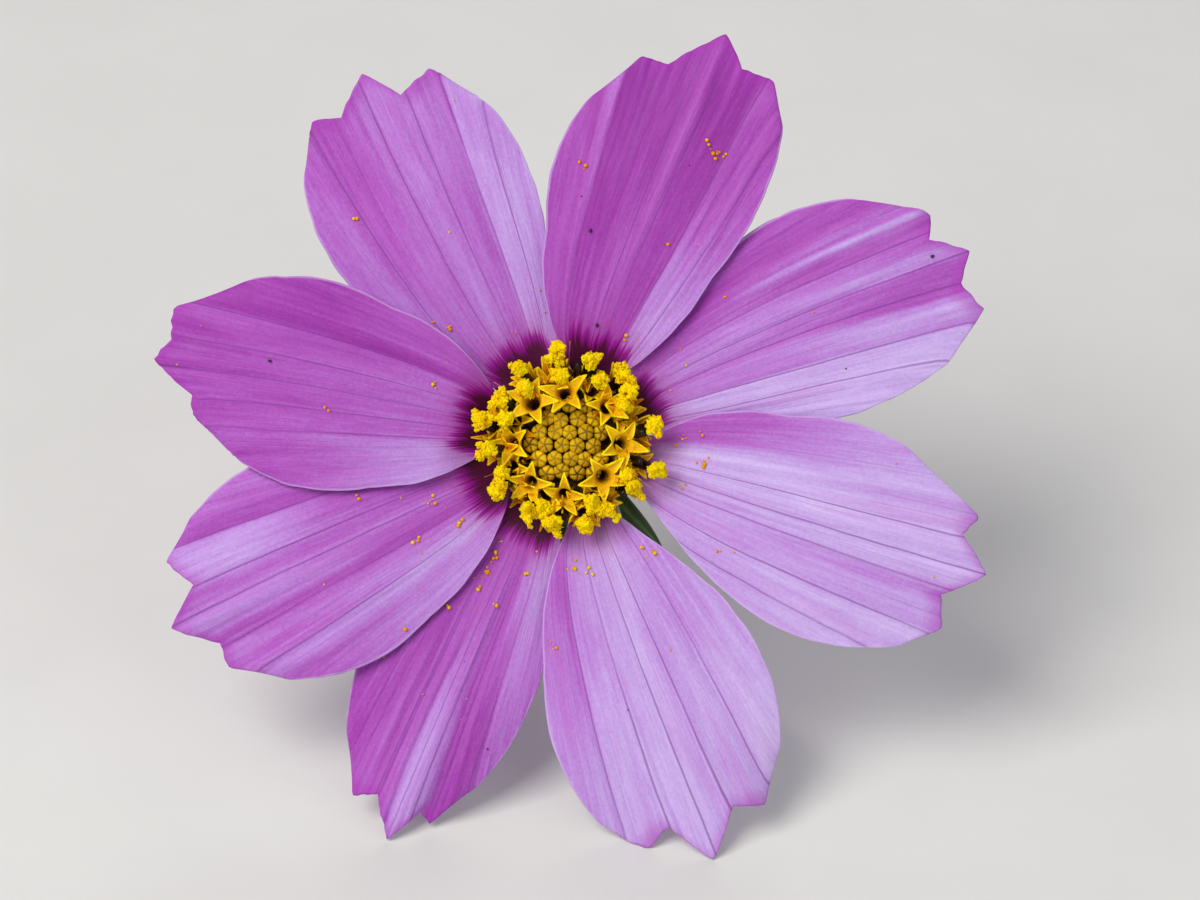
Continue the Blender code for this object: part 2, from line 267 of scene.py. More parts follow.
def stalk_skin():
    """Smooth green skin with paler ribs and a faint wine-red flush."""
    finish, tree, shader = new_material("stalk_skin", Roughness=0.42, Subsurface_Weight=0.08,
                                        Subsurface_Scale=0.0008)
    spot = attribute(tree, "stalk_spot")["Vector"]
    rib = attribute(tree, "stalk_rib")["Fac"]
    fine = grain(tree, stretched(tree, spot, (9.0, 9.0, 0.5)), 1.0, 3.0)
    broad = grain(tree, stretched(tree, spot, (0.9, 0.9, 0.09)), 1.0)
    green = mixed(tree, eased(tree, rib, -0.8, 1.0), colour(0.06, 0.15, 0.025), colour(0.15, 0.28, 0.06))
    green = mixed(tree, eased(tree, fine, 0.35, 0.75, 0.0, 0.5), green, colour(0.10, 0.22, 0.05))
    flush = eased(tree, broad, 0.52, 0.72, 0.0, 0.45)
    tree.links.new(mixed(tree, flush, green, colour(0.16, 0.06, 0.05)), shader.inputs["Base Color"])
    bump(tree, shader, fine, 0.00003, 0.6)
    return finish


def pith():
    """The wet, pale inside of the stalk at its cut, mottled with fine cells."""
    finish, tree, shader = new_material("pith", Roughness=0.35, Subsurface_Weight=0.1,
                                        Subsurface_Scale=0.0006)
    place = own_place(tree)
    cells = grain(tree, place, 6000.0, 3.0)
    tint = mixed(tree, eased(tree, cells, 0.35, 0.7), colour(0.34, 0.42, 0.20), colour(0.62, 0.66, 0.42))
    tree.links.new(tint, shader.inputs["Base Color"])
    bump(tree, shader, cells, 0.00004)
    return finish


def seat_skin():
    """The dark, dry seat that the florets stand in."""
    finish, tree, shader = new_material("seat_skin", Roughness=0.8)
    place = own_place(tree)
    pits = grain(tree, place, 3000.0, 3.0)
    tint = mixed(tree, eased(tree, pits, 0.35, 0.7), colour(0.02, 0.010, 0.004), colour(0.09, 0.05, 0.012))
    tree.links.new(tint, shader.inputs["Base Color"])
    return finish


shape = bmesh.new()
stalk_rib = shape.verts.layers.float.new("stalk_rib")
stalk_spot = shape.verts.layers.float_vector.new("stalk_spot")
add_bar(shape, STALK_SIDES, STALK_ROWS, lay_stalk)
# the ends are the fans of triangles: pith at the cut end on the table, the seat's skin at the top
for face in shape.faces:
    if len(face.verts) == 3:
        face.material_index = 1 if face.calc_center_median().z < 10.0 * MM else 2
stalk = add_piece("stalk", shape, [stalk_skin(), pith(), seat_skin()], ["stem"])
stalk.data.set_sharp_from_angle(angle=math.radians(SHARP_ANGLE))


# ---- Bracts ----
# Two rings of leafy scales behind the petals hold the head together: eight narrow green ones that
# spread between the petals, and eight papery oval ones that press against the petals' backs.
OUTER_START = 3.3
OUTER_LENGTH = 9.3
OUTER_HALF = 0.85
OUTER_HEIGHT = -2.45
OUTER_ARCH = 1.25
OUTER_TURN = -6.0
OUTER_THICK = 0.3
OUTER_COLUMNS = 10
INNER_START = 4.8
INNER_LENGTH = 7.7
INNER_HALF = 2.2
INNER_THICK = 0.16
INNER_BELOW = 0.62
INNER_FOOT = 0.5
INNER_COLUMNS = 14
BRACT_ROWS = 30
CUP_RADII = (3.9, 5.9)
CUP_HEIGHTS = (-0.9, 0.1)
CUP_COLUMNS = 96
CUP_ROWS = 10
# Each petal's direction in degrees from U, and the layer that it lies in, counted from the back
PETAL_TURNS = (70.0, 26.0, -17.5, -70.0, -115.0, -155.0, 167.5, 119.0)
PETAL_LAYERS = (1, 0, 1, 1, 0, 1, 2, 0)


def add_walled(name, shape, finishes, nodes, thickness):
    """A piece whose open sheets get a wall; a second finish, if there is one, goes on their backs."""
    piece = add_piece(name, shape, finishes, nodes)
    wall = piece.modifiers.new("wall", "SOLIDIFY")
    wall.thickness = thickness * MM
    wall.offset = 0.0
    if len(finishes) > 1:
        wall.material_offset = 1
    return piece


def add_sheet(name, columns, rows, lay, finishes, nodes, thickness):
    """A thin sheet laid by lay(across from 1 to -1, along from 0 to 1): place, tone and fan place."""
    # a new layer of the same kind moves the earlier one, so both are looked up once they are all there
    shape = bmesh.new()
    shape.verts.layers.float.new("tone_and_shade")
    shape.verts.layers.float.new("fan")
    spread = shape.verts.layers.float_vector.new("spread")
    tone_and_shade, fan = shape.verts.layers.float["tone_and_shade"], shape.verts.layers.float["fan"]
    bmesh.ops.create_grid(shape, x_segments=len(columns) - 1, y_segments=rows, size=0.5)
    for vertex in shape.verts:
        across = columns[round((vertex.co.x + 0.5) * (len(columns) - 1))]
        along = vertex.co.y + 0.5
        place, vertex[tone_and_shade], vertex[fan] = lay(across, along)
        vertex.co = on_head(place)
        vertex.co.z = max(vertex.co.z, 0.5 * thickness * MM)
        vertex[spread] = (across, along, math.hypot(place[0], place[1]))
    return add_walled(name, shape, finishes, nodes, thickness)


def even_columns(count):
    return [1.0 - 2.0 * index / count for index in range(count + 1)]


CLAW_START = 5.3
CLAW_HEIGHT = 0.3
PETAL_REACH = 36.0
PETAL_RISE = 3.4
PETAL_ARCH = 0.9
CLAW_TROUGH = 0.9
LAYER_STEP = 0.9
LAYER_LENGTH = 5.5


def petal_height(layer, reach, across):
    """Height of a petal's even surface at a distance from the middle of the head."""
    share = (reach - CLAW_START) / (PETAL_REACH - CLAW_START)
    rise = PETAL_RISE * (1.0 - (1.0 - share) ** 2)
    climb = layer * LAYER_STEP * smooth((reach - CLAW_START) / LAYER_LENGTH)
    curl = (CLAW_TROUGH * (1.0 - share) ** 3 - PETAL_ARCH * share) * across ** 2
    return CLAW_HEIGHT + rise + climb + curl


def bract_skin(name, middle, side, margin, vein_count, roughness):
    """A leafy skin: a paler midrib, fine lengthwise veins and a dry, pale margin."""
    finish, tree, shader = new_material(name, Roughness=roughness, Subsurface_Weight=0.06,
                                        Subsurface_Scale=0.0006)
    spread = add_node(tree, "SeparateXYZ", {0: attribute(tree, "spread")["Vector"]}).outputs
    place = own_place(tree)
    from_middle = calc(tree, "ABSOLUTE", spread[0])
    body = mixed(tree, eased(tree, from_middle, 0.04, 0.4), middle, side)
    lines = calc(tree, "PINGPONG", calc(tree, "MULTIPLY", spread[0], vein_count), 0.5)
    body = mixed(tree, eased(tree, lines, 0.12, 0.0, 0.0, 0.4), body, middle)
    mottle = eased(tree, grain(tree, place, 900.0, 3.0), 0.35, 0.75, 0.0, 0.45)
    body = mixed(tree, mottle, body, side)
    edge = eased(tree, from_middle, 0.74, 0.95, 0.0, 0.85)
    tree.links.new(mixed(tree, edge, body, margin), shader.inputs["Base Color"])
    bump(tree, shader, lines, 0.00005, 0.7)
    return finish


outer_skin = bract_skin("outer_bract_skin", colour(0.13, 0.25, 0.07), colour(0.035, 0.095, 0.018),
                        colour(0.13, 0.16, 0.06), 5.0, 0.42)
inner_skin = bract_skin("inner_bract_skin", colour(0.20, 0.22, 0.07), colour(0.30, 0.29, 0.12),
                        colour(0.62, 0.58, 0.42), 9.0, 0.5)

for number, (turn, layer) in enumerate(zip(PETAL_TURNS, PETAL_LAYERS), start=1):
    step = (turn - PETAL_TURNS[number % len(PETAL_TURNS)]) % 360.0
    between = turn - step / 2.0 + OUTER_TURN

    def lay_outer(across, along, between=between, number=number):
        reach = OUTER_START + along * OUTER_LENGTH
        half = OUTER_HALF * (0.55 + 0.9 * along) * (1.0 - along ** 2.2) + 0.35 * (1.0 - along)
        keel = 0.28 * abs(across) * (1.0 - along)
        wave = 0.25 * math.sin(3.0 * along + 1.7 * number)
        height = OUTER_HEIGHT + OUTER_ARCH * math.sin(math.pi * 0.62 * along) + keel + 0.3 * wave * along
        return turn_out(between, (reach, across * half + wave * along, height)), 0.0, 0.0

    add_sheet(f"outer_bract_blade_{number}", even_columns(OUTER_COLUMNS), BRACT_ROWS, lay_outer,
              [outer_skin], [f"outer_bract_{number}"], OUTER_THICK)

    def lay_inner(across, along, turn=turn, layer=layer):
        reach = INNER_START + along * INNER_LENGTH
        half = INNER_HALF * math.sqrt(math.sin(math.pi * (0.34 + 0.66 * along)))
        height = petal_height(layer, max(reach, CLAW_START), 0.0) - INNER_BELOW
        height += 0.25 * across ** 2 * (1.0 - along) - INNER_FOOT * (1.0 - smooth(along * 4.0))
        return turn_out(turn, (reach, across * half, height)), 0.0, 0.0

    add_sheet(f"inner_bract_blade_{number}", even_columns(INNER_COLUMNS), BRACT_ROWS, lay_inner,
              [inner_skin], [f"inner_bract_{number}"], INNER_THICK)


def lay_cup(across, along):
    """The green rim of the seat that the bracts and petals grow from."""
    radius = CUP_RADII[0] + (CUP_RADII[1] - CUP_RADII[0]) * along
    height = CUP_HEIGHTS[0] + (CUP_HEIGHTS[1] - CUP_HEIGHTS[0]) * along ** 1.6
    return turn_out(180.0 * across, (radius, 0.0, height)), 0.0, 0.0


cup = add_sheet("seat_rim", even_columns(CUP_COLUMNS), CUP_ROWS, lay_cup, [outer_skin],
                (), OUTER_THICK)
# the first and the last column meet, so they are joined
joined = bmesh.new()
joined.from_mesh(cup.data)
bmesh.ops.remove_doubles(joined, verts=joined.verts, dist=0.001 * MM)
joined.to_mesh(cup.data)
joined.free()


# ---- Petals ----
# Eight soft, thin petals with three-toothed tips, overlapping in three layers. Pleats and fine veins
# fan out from the narrow base to the teeth, and the base is stained dark wine red with feathered edges.
PETAL_THICK = 0.2
BASE_WIDTH = 0.02
SHOULDER_DROP = 1.6
CORNER_START = 0.7
CLAW_END = 0.42
TOOTH_POINT = 1.15
PETAL_COLUMNS = 110
PETAL_ROWS = 130
FAN_GROWTH = 0.42
CREASE_DEPTH = 0.30
CREASE_WIDTH = 0.16
RIPPLE = 0.035
TIP_DROOP = 0.5
EDGE_WAVE = 0.28
BACK_PALER = 0.35
BACK_STAIN = 0.25
SEED_STEP = 1.7

# Widths and teeth are in millimetres. Places across the petal are counted along its fan of veins: 1 is
# the left corner of the tip, 0 the middle and -1 the right corner, and the sides reach about 1.4.
# left and right: the widest half-width, the half-width at the shoulder and the rounding of the corner.
# skew: how far the fan leans at the base. claws: extra half-width of the narrow base, left and right.
# stain: how far the dark base reaches, where 1 is the furthest. paler: how much paler the front is,
# partly the petal's own colour and partly painted light on the petals that face the key lamp.
# teeth: tooth, notch, tooth, notch, tooth as (sideways, reach). tones: place, then how pale the petal
# is towards the tip and towards the base, where 0 is middling, partly its own tone and partly painted
# light and shade on the facets between its pleats. veins: places of the main veins.
# creases: place and rise.
PETALS = (
    dict(left=(9.3, 6.8, 3.9), right=(8.6, 7.6, 2.6), skew=0.33,
         claws=(1.3, 1.0), stain=1.0, paler=0.0,
         teeth=((5.4, 33.0), (2.9, 33.1), (-0.8, 37.1), (-3.1, 34.8), (-6.2, 34.9)),
         shaded_tones=((1.3, -0.5, -0.45), (1.1, -0.8, -0.6), (1.0, -0.2, -0.5), (0.93, 0.1, -0.4),
                (0.86, -1.0, -0.7), (0.3, -0.95, -0.5), (0.05, -0.95, -0.4), (-0.13, -0.7, -0.45),
                (-0.25, -0.95, -0.6), (-0.69, -0.95, -0.55), (-0.76, -0.6, 0.35), (-1.2, -0.6, 0.45)),
         veins=(0.05, 0.5, -0.25, -0.72, -1.15),
         creases=((0.93, 1.0), (0.72, -0.5), (-0.15, 0.6), (-0.72, -0.8), (0.3, 0.3))),
    dict(left=(9.4, 6.3, 4.3), right=(8.8, 7.2, 3.4), skew=0.58,
         claws=(1.0, 1.5), stain=0.8, paler=0.10,
         teeth=((3.8, 36.2), (2.0, 35.3), (-0.4, 37.9), (-2.5, 36.1), (-5.5, 36.8)),
         shaded_tones=((1.3, -0.5, -0.5), (1.1, -0.75, -0.9), (0.98, -0.3, -0.9), (0.88, 0.1, -0.85),
                (0.8, -0.1, -0.75), (0.72, 0.8, -0.5), (0.64, -0.1, -0.45), (0.5, -0.45, -0.35),
                (0.35, -0.1, -0.1), (0.2, 0.0, 0.1), (0.1, 0.55, 0.3), (0.0, 0.2, 0.2),
                (-0.1, -0.3, 0.25), (-0.42, -0.35, -0.15), (-0.5, 0.3, 0.0), (-0.6, 0.75, 0.15),
                (-0.72, 0.6, 0.1), (-0.82, 0.4, 0.0), (-0.88, 0.85, 0.8), (-1.3, 1.1, 0.85)),
         veins=(-0.05, 0.4, -0.36, -0.86, -1.22),
         creases=((0.72, 1.0), (0.5, -0.9), (0.1, 0.6), (-0.38, -1.0), (-0.62, 0.5), (-0.86, -0.4))),
    dict(left=(8.9, 5.7, 7.1), right=(9.9, 7.3, 1.6), skew=-0.08,
         claws=(1.5, 0.1), stain=0.3, paler=0.20,
         teeth=((4.7, 35.4), (2.6, 34.3), (-0.1, 37.3), (-2.8, 34.2), (-5.8, 35.1)),
         shaded_tones=((1.3, 0.7, -0.4), (1.1, 0.8, 0.45), (0.95, 0.9, 0.75), (0.86, 0.5, 0.85),
                (0.78, 0.5, 0.85), (0.7, 0.95, 0.8), (0.3, 0.95, 0.75), (0.1, 0.8, 0.6),
                (0.0, 0.85, 0.4), (-0.1, 0.9, 0.65), (-0.25, 0.75, 0.45), (-0.4, 0.3, 0.5),
                (-0.55, 0.6, 0.55), (-0.7, 0.45, 0.55), (-0.84, 0.5, 0.4), (-0.9, 0.95, 0.55),
                (-1.3, 0.9, 0.5)),
         veins=(-0.01, 0.42, -0.3, -0.86, -1.3),
         creases=((1.0, 0.7), (0.42, -0.3), (0.0, -0.4), (-0.4, -0.6), (-0.86, 0.5))),
    dict(left=(9.4, 7.1, 3.1), right=(10.0, 7.6, 2.6), skew=-0.18,
         claws=(-0.3, 1.0), stain=0.4, paler=0.22,
         teeth=((5.2, 34.7), (2.6, 33.8), (-0.5, 37.5), (-3.1, 33.6), (-6.0, 35.2)),
         shaded_tones=((1.3, 0.95, 0.35), (1.0, 1.0, 0.25), (0.9, 0.7, 0.25), (0.7, 0.7, 0.3),
                (0.5, 0.65, 0.4), (0.25, 0.6, 0.6), (0.05, 0.85, 0.65), (-0.2, 0.8, 0.5),
                (-0.5, 0.65, 0.3), (-0.87, 0.7, 0.1), (-0.93, 0.35, -0.25), (-1.0, 0.5, -0.4),
                (-1.3, 0.45, -0.25)),
         veins=(-0.015, 0.33, 0.87, -0.4, -0.92),
         creases=((0.87, -0.3), (0.33, 0.4), (0.0, -0.4), (-0.4, 0.3), (-0.92, -0.9))),
    dict(left=(6.7, 4.2, 3.2), right=(8.3, 5.3, 3.9), skew=-0.3,
         claws=(1.2, 1.2), stain=0.95, paler=0.06,
         teeth=((3.1, 34.5), (1.9, 33.8), (0.4, 37.0), (-2.0, 33.9), (-3.8, 35.0)),
         shaded_tones=((1.4, -0.2, 0.4), (1.1, -0.75, 0.3), (0.9, -0.7, 0.1), (0.76, -0.85, -0.35),
                (0.62, -0.95, -0.5), (0.52, -0.2, -0.3), (0.4, 0.3, -0.3), (0.1, 0.5, -0.4),
                (0.0, 0.5, -0.45), (-0.1, 0.0, -0.5), (-0.3, -0.3, -0.55), (-0.55, -0.5, -0.75),
                (-0.7, -0.2, -0.9), (-0.78, -0.5, -0.95), (-1.3, -0.65, -0.9)),
         veins=(0.09, 0.35, 0.72, -0.4, 1.25),
         creases=((0.62, -1.4), (0.3, 0.8), (-0.06, -0.5), (-0.5, -0.5), (-0.72, 0.7), (1.0, 0.5))),
    dict(left=(9.9, 6.9, 3.0), right=(9.6, 6.8, 2.0), skew=-0.1,
         claws=(1.0, 1.1), stain=1.0, paler=0.03,
         teeth=((5.2, 34.3), (3.0, 34.0), (0.1, 37.1), (-2.4, 33.9), (-5.2, 35.2)),
         shaded_tones=((1.3, -0.15, 0.4), (1.1, 0.25, 0.7), (0.99, 0.1, 0.75), (0.93, -0.15, 0.65),
                (0.8, -0.05, 0.2), (0.65, 0.15, 0.0), (0.5, -0.15, -0.55), (0.4, -0.35, -0.7),
                (0.3, 0.25, -0.35), (0.1, 0.4, -0.15), (0.0, 0.15, 0.0), (-0.2, -0.2, -0.25),
                (-0.3, 0.25, -0.35), (-0.4, 0.6, -0.5), (-0.7, 0.6, -0.9), (-0.83, 0.4, -0.8),
                (-0.89, -0.45, -0.7), (-1.3, 0.0, -0.5)),
         veins=(0.0, 0.5, 0.97, -0.33, -0.87),
         creases=((0.97, 0.8), (0.45, -1.1), (0.15, 0.5), (-0.2, -0.6), (-0.5, 0.5), (-0.87, -1.1))),
    dict(left=(8.7, 6.1, 3.4), right=(9.0, 5.5, 4.7), skew=-0.3,
         claws=(1.0, 1.4), stain=1.0, paler=0.06,
         teeth=((4.7, 31.6), (3.0, 32.0), (0.7, 35.7), (-1.2, 34.6), (-3.7, 35.0)),
         shaded_tones=((1.3, -0.65, 0.5), (1.0, -0.4, 0.4), (0.9, -0.5, 0.0), (0.5, -0.5, -0.15),
                (0.2, -0.65, -0.1), (-0.3, -0.45, -0.1), (-0.5, -0.7, -0.2), (-0.7, -0.5, -0.2),
                (-0.82, -0.6, -0.3), (-0.9, -0.85, -0.95), (-1.0, -1.0, -0.95), (-1.3, -0.95, -0.4)),
         veins=(0.16, 0.55, 0.91, -0.3, -0.85),
         creases=((0.91, 0.5), (0.16, -0.3), (-0.5, -0.4), (-0.86, -1.1), (-1.05, 0.6))),
    dict(left=(10.2, 7.8, 3.1), right=(8.6, 7.0, 3.9), skew=0.35,
         claws=(1.4, 1.2), stain=1.0, paler=0.12,
         teeth=((6.0, 34.5), (3.5, 33.6), (0.1, 35.9), (-1.9, 32.8), (-5.2, 33.6)),
         shaded_tones=((1.3, -0.15, -0.1), (1.0, -0.25, 0.1), (0.83, -0.5, 0.0), (0.6, -0.5, -0.1),
                (0.4, -0.35, -0.05), (0.1, 0.0, 0.05), (-0.1, 0.1, 0.15), (-0.4, 0.0, -0.05),
                (-0.7, -0.15, -0.1), (-0.8, -0.15, 0.4), (-0.85, 0.45, 0.45), (-1.0, 0.5, 0.45),
                (-1.3, 0.4, 0.55)),
         veins=(0.095, 0.81, -0.35, -0.81, -1.2),
         creases=((0.81, -0.5), (0.3, 0.3), (0.1, -0.4), (-0.5, 0.4), (-0.81, -1.2))),
)


def tip_marks(petal):
    """The toothed outline from the left shoulder to the right one, as (sideways, reach)."""
    left, right, teeth = petal["left"], petal["right"], petal["teeth"]
    first = (left[1], teeth[0][1] - SHOULDER_DROP)
    last = (-right[1], teeth[-1][1] - SHOULDER_DROP)
    return [first, *teeth, last]


def petal_columns(petal):
    """Columns across the petal that meet every tooth and notch, from 1 at the left to -1."""
    places = [
        sideways / (petal["left"][1] if sideways > 0.0 else petal["right"][1])
        for sideways, _ in tip_marks(petal)
    ]
    columns = []
    for left, right in zip(places, places[1:]):
        count = max(2, round(PETAL_COLUMNS * (left - right) / 2.0))
        columns.extend(left + (right - left) * index / count for index in range(count))
    return [*columns, -1.0]


def tip_reach(petal, across):
    """How far the toothed end reaches at a place across the petal."""
    sideways = across * (petal["left"] if across > 0.0 else petal["right"])[1]
    marks = tip_marks(petal)
    for index, (first, second) in enumerate(zip(marks, marks[1:])):
        if sideways >= second[0] - 1e-6:
            tooth, notch = (second, first) if index % 2 == 0 else (first, second)
            share = min(abs(sideways - tooth[0]) / abs(notch[0] - tooth[0]), 1.0)
            return tooth[1] - (tooth[1] - notch[1]) * share ** TOOTH_POINT
    return marks[-1][1]


def corner_pull(petal, across, along):
    """How far a rounded corner pulls a place in: a share of the half-width, and a length."""
    side = petal["left"] if across > 0.0 else petal["right"]
    share = min(max((abs(across) - CORNER_START) / (1.0 - CORNER_START), 0.0), 1.0)
    rounded = side[2] / (tip_reach(petal, across) - CLAW_START)
    run = min(max((along - 1.0 + rounded) / rounded, 0.0), 1.0)
    inward = (1.0 - CORNER_START) * share * (1.0 - math.sqrt(1.0 - 0.5 * run * run))
    return math.copysign(inward, across), side[2] * run * (1.0 - math.sqrt(1.0 - 0.5 * share * share))


def petal_half(petal, across, along):
    """Half-width of the petal on one side."""
    widest, shoulder, _ = petal["left"] if across > 0.0 else petal["right"]
    taper = 1.0 - BASE_WIDTH - math.asin(shoulder / widest) / math.pi
    claw = petal["claws"][0 if across > 0.0 else 1] * math.sin(math.pi * min(along / CLAW_END, 1.0) ** 0.7)
    return widest * math.sin(math.pi * (BASE_WIDTH + taper * along)) + claw


def fan_place(petal, across, along):
    """Place in the fan of veins, which spreads quickly from the base and then runs straight."""
    shoulder = (petal["left"] if across > 0.0 else petal["right"])[1]
    spread = petal_half(petal, across, along) / (shoulder * max(along, 0.01) ** FAN_GROWTH)
    lean = petal["skew"] * (1.0 - along) * smooth(along * 8.0)
    return (across - corner_pull(petal, across, along)[0]) * spread - lean


def petal_place(number, across, along):
    """Place of a petal's middle surface on the head, with its pleats, ripples and waves."""
    petal = PETALS[number - 1]
    inward, down = corner_pull(petal, across, along)
    reach = CLAW_START + along * (tip_reach(petal, across) - CLAW_START) - down
    height = petal_height(PETAL_LAYERS[number - 1], reach, across)
    fan = fan_place(petal, across, along)
    grown = smooth(along * 2.2)
    for place, rise in petal["creases"]:
        away = math.sqrt(((fan - place) / CREASE_WIDTH) ** 2 + 0.04)
        height += CREASE_DEPTH * rise * math.exp(-away) * grown * (0.6 + 0.6 * along)
    rough = noise.noise(Vector((fan * 2.4, along * 1.6, 5.3 * number)))
    strong = 1.0 + 1.6 * noise.noise(Vector((fan * 1.7, along * 2.3, 2.9 * number)))
    height += RIPPLE * strong * math.sin(17.0 * fan + 2.0 * number + 5.0 * rough) * grown * (0.5 + along)
    fine = math.sin(41.0 * fan + 5.0 * number + 9.0 * rough)
    height += 0.6 * RIPPLE * strong * fine * grown * (0.4 + along)
    wave = math.sin(7.0 * along + 2.3 * number + (1.5 if across > 0.0 else 0.0))
    height += EDGE_WAVE * wave * smooth(2.0 * abs(across) - 1.0) * smooth(3.0 * along - 1.4)
    height -= TIP_DROOP * smooth(2.5 * along - 1.5) * (1.0 + 0.8 * math.sin(3.0 * across + number))
    broad = noise.noise(Vector((across * 1.3, along * 2.2, 3.7 * number)))
    height += 0.35 * broad * smooth(3.0 * along - 1.2)
    ragged = noise.noise(Vector((across * 2.0, along * 14.0, 9.1 * number))) * 0.1 * abs(across) ** 6
    reach += 0.16 * noise.noise(Vector((across * 9.0, 1.0, 7.7 * number))) * smooth(12.0 * along - 11.0)
    sideways = (across - inward) * petal_half(petal, across, along) + ragged
    return turn_out(PETAL_TURNS[number - 1], (reach, sideways, height))


def petal_shade_and_tone(number, across, along):
    """How pale the petal is at a place: 1 is pale and -1 is deep, partly its own tone and partly painted
    light and shade on its facets.
    """
    petal = PETALS[number - 1]
    fan = fan_place(petal, across, along)
    fan += 0.02 * math.sin(9.0 * along + 3.0 * number)
    towards_tip = smooth((along - 0.2) / 0.65)
    stops = [(place, low + (high - low) * towards_tip) for place, high, low in petal["shaded_tones"]]
    if fan >= stops[0][0]:
        return stops[0][1]
    for (left, first), (right, second) in zip(stops, stops[1:]):
        if fan >= right:
            return first + (second - first) * smooth((left - fan) / (left - right))
    return stops[-1][1]


def lines_at(tree, value, places, half, wander):
    """Thin lines at the given places, each fading in and out by a wandering noise."""
    total = None
    for place in places:
        away = calc(tree, "ABSOLUTE", calc(tree, "SUBTRACT", value, place))
        line = eased(tree, away, half, half * 0.25)
        total = line if total is None else calc(tree, "MAXIMUM", total, line)
    return calc(tree, "MULTIPLY", total, wander)


PETAL_COLOURS = (
    colour(0.26, 0.018, 0.30), colour(0.345, 0.042, 0.385), colour(0.43, 0.10, 0.51),
    colour(0.485, 0.225, 0.65), colour(0.56, 0.39, 0.77), colour(0.70, 0.54, 0.89),
)
BLUSH = colour(0.50, 0.13, 0.56)
VEIN = colour(0.19, 0.035, 0.26)
TOOTH_FLUSH = colour(0.38, 0.03, 0.42)
STAIN_HAZE = colour(0.40, 0.05, 0.36)
STAIN_FRINGE = colour(0.30, 0.003, 0.28)
STAIN_DARK = colour(0.080, 0.001, 0.036)


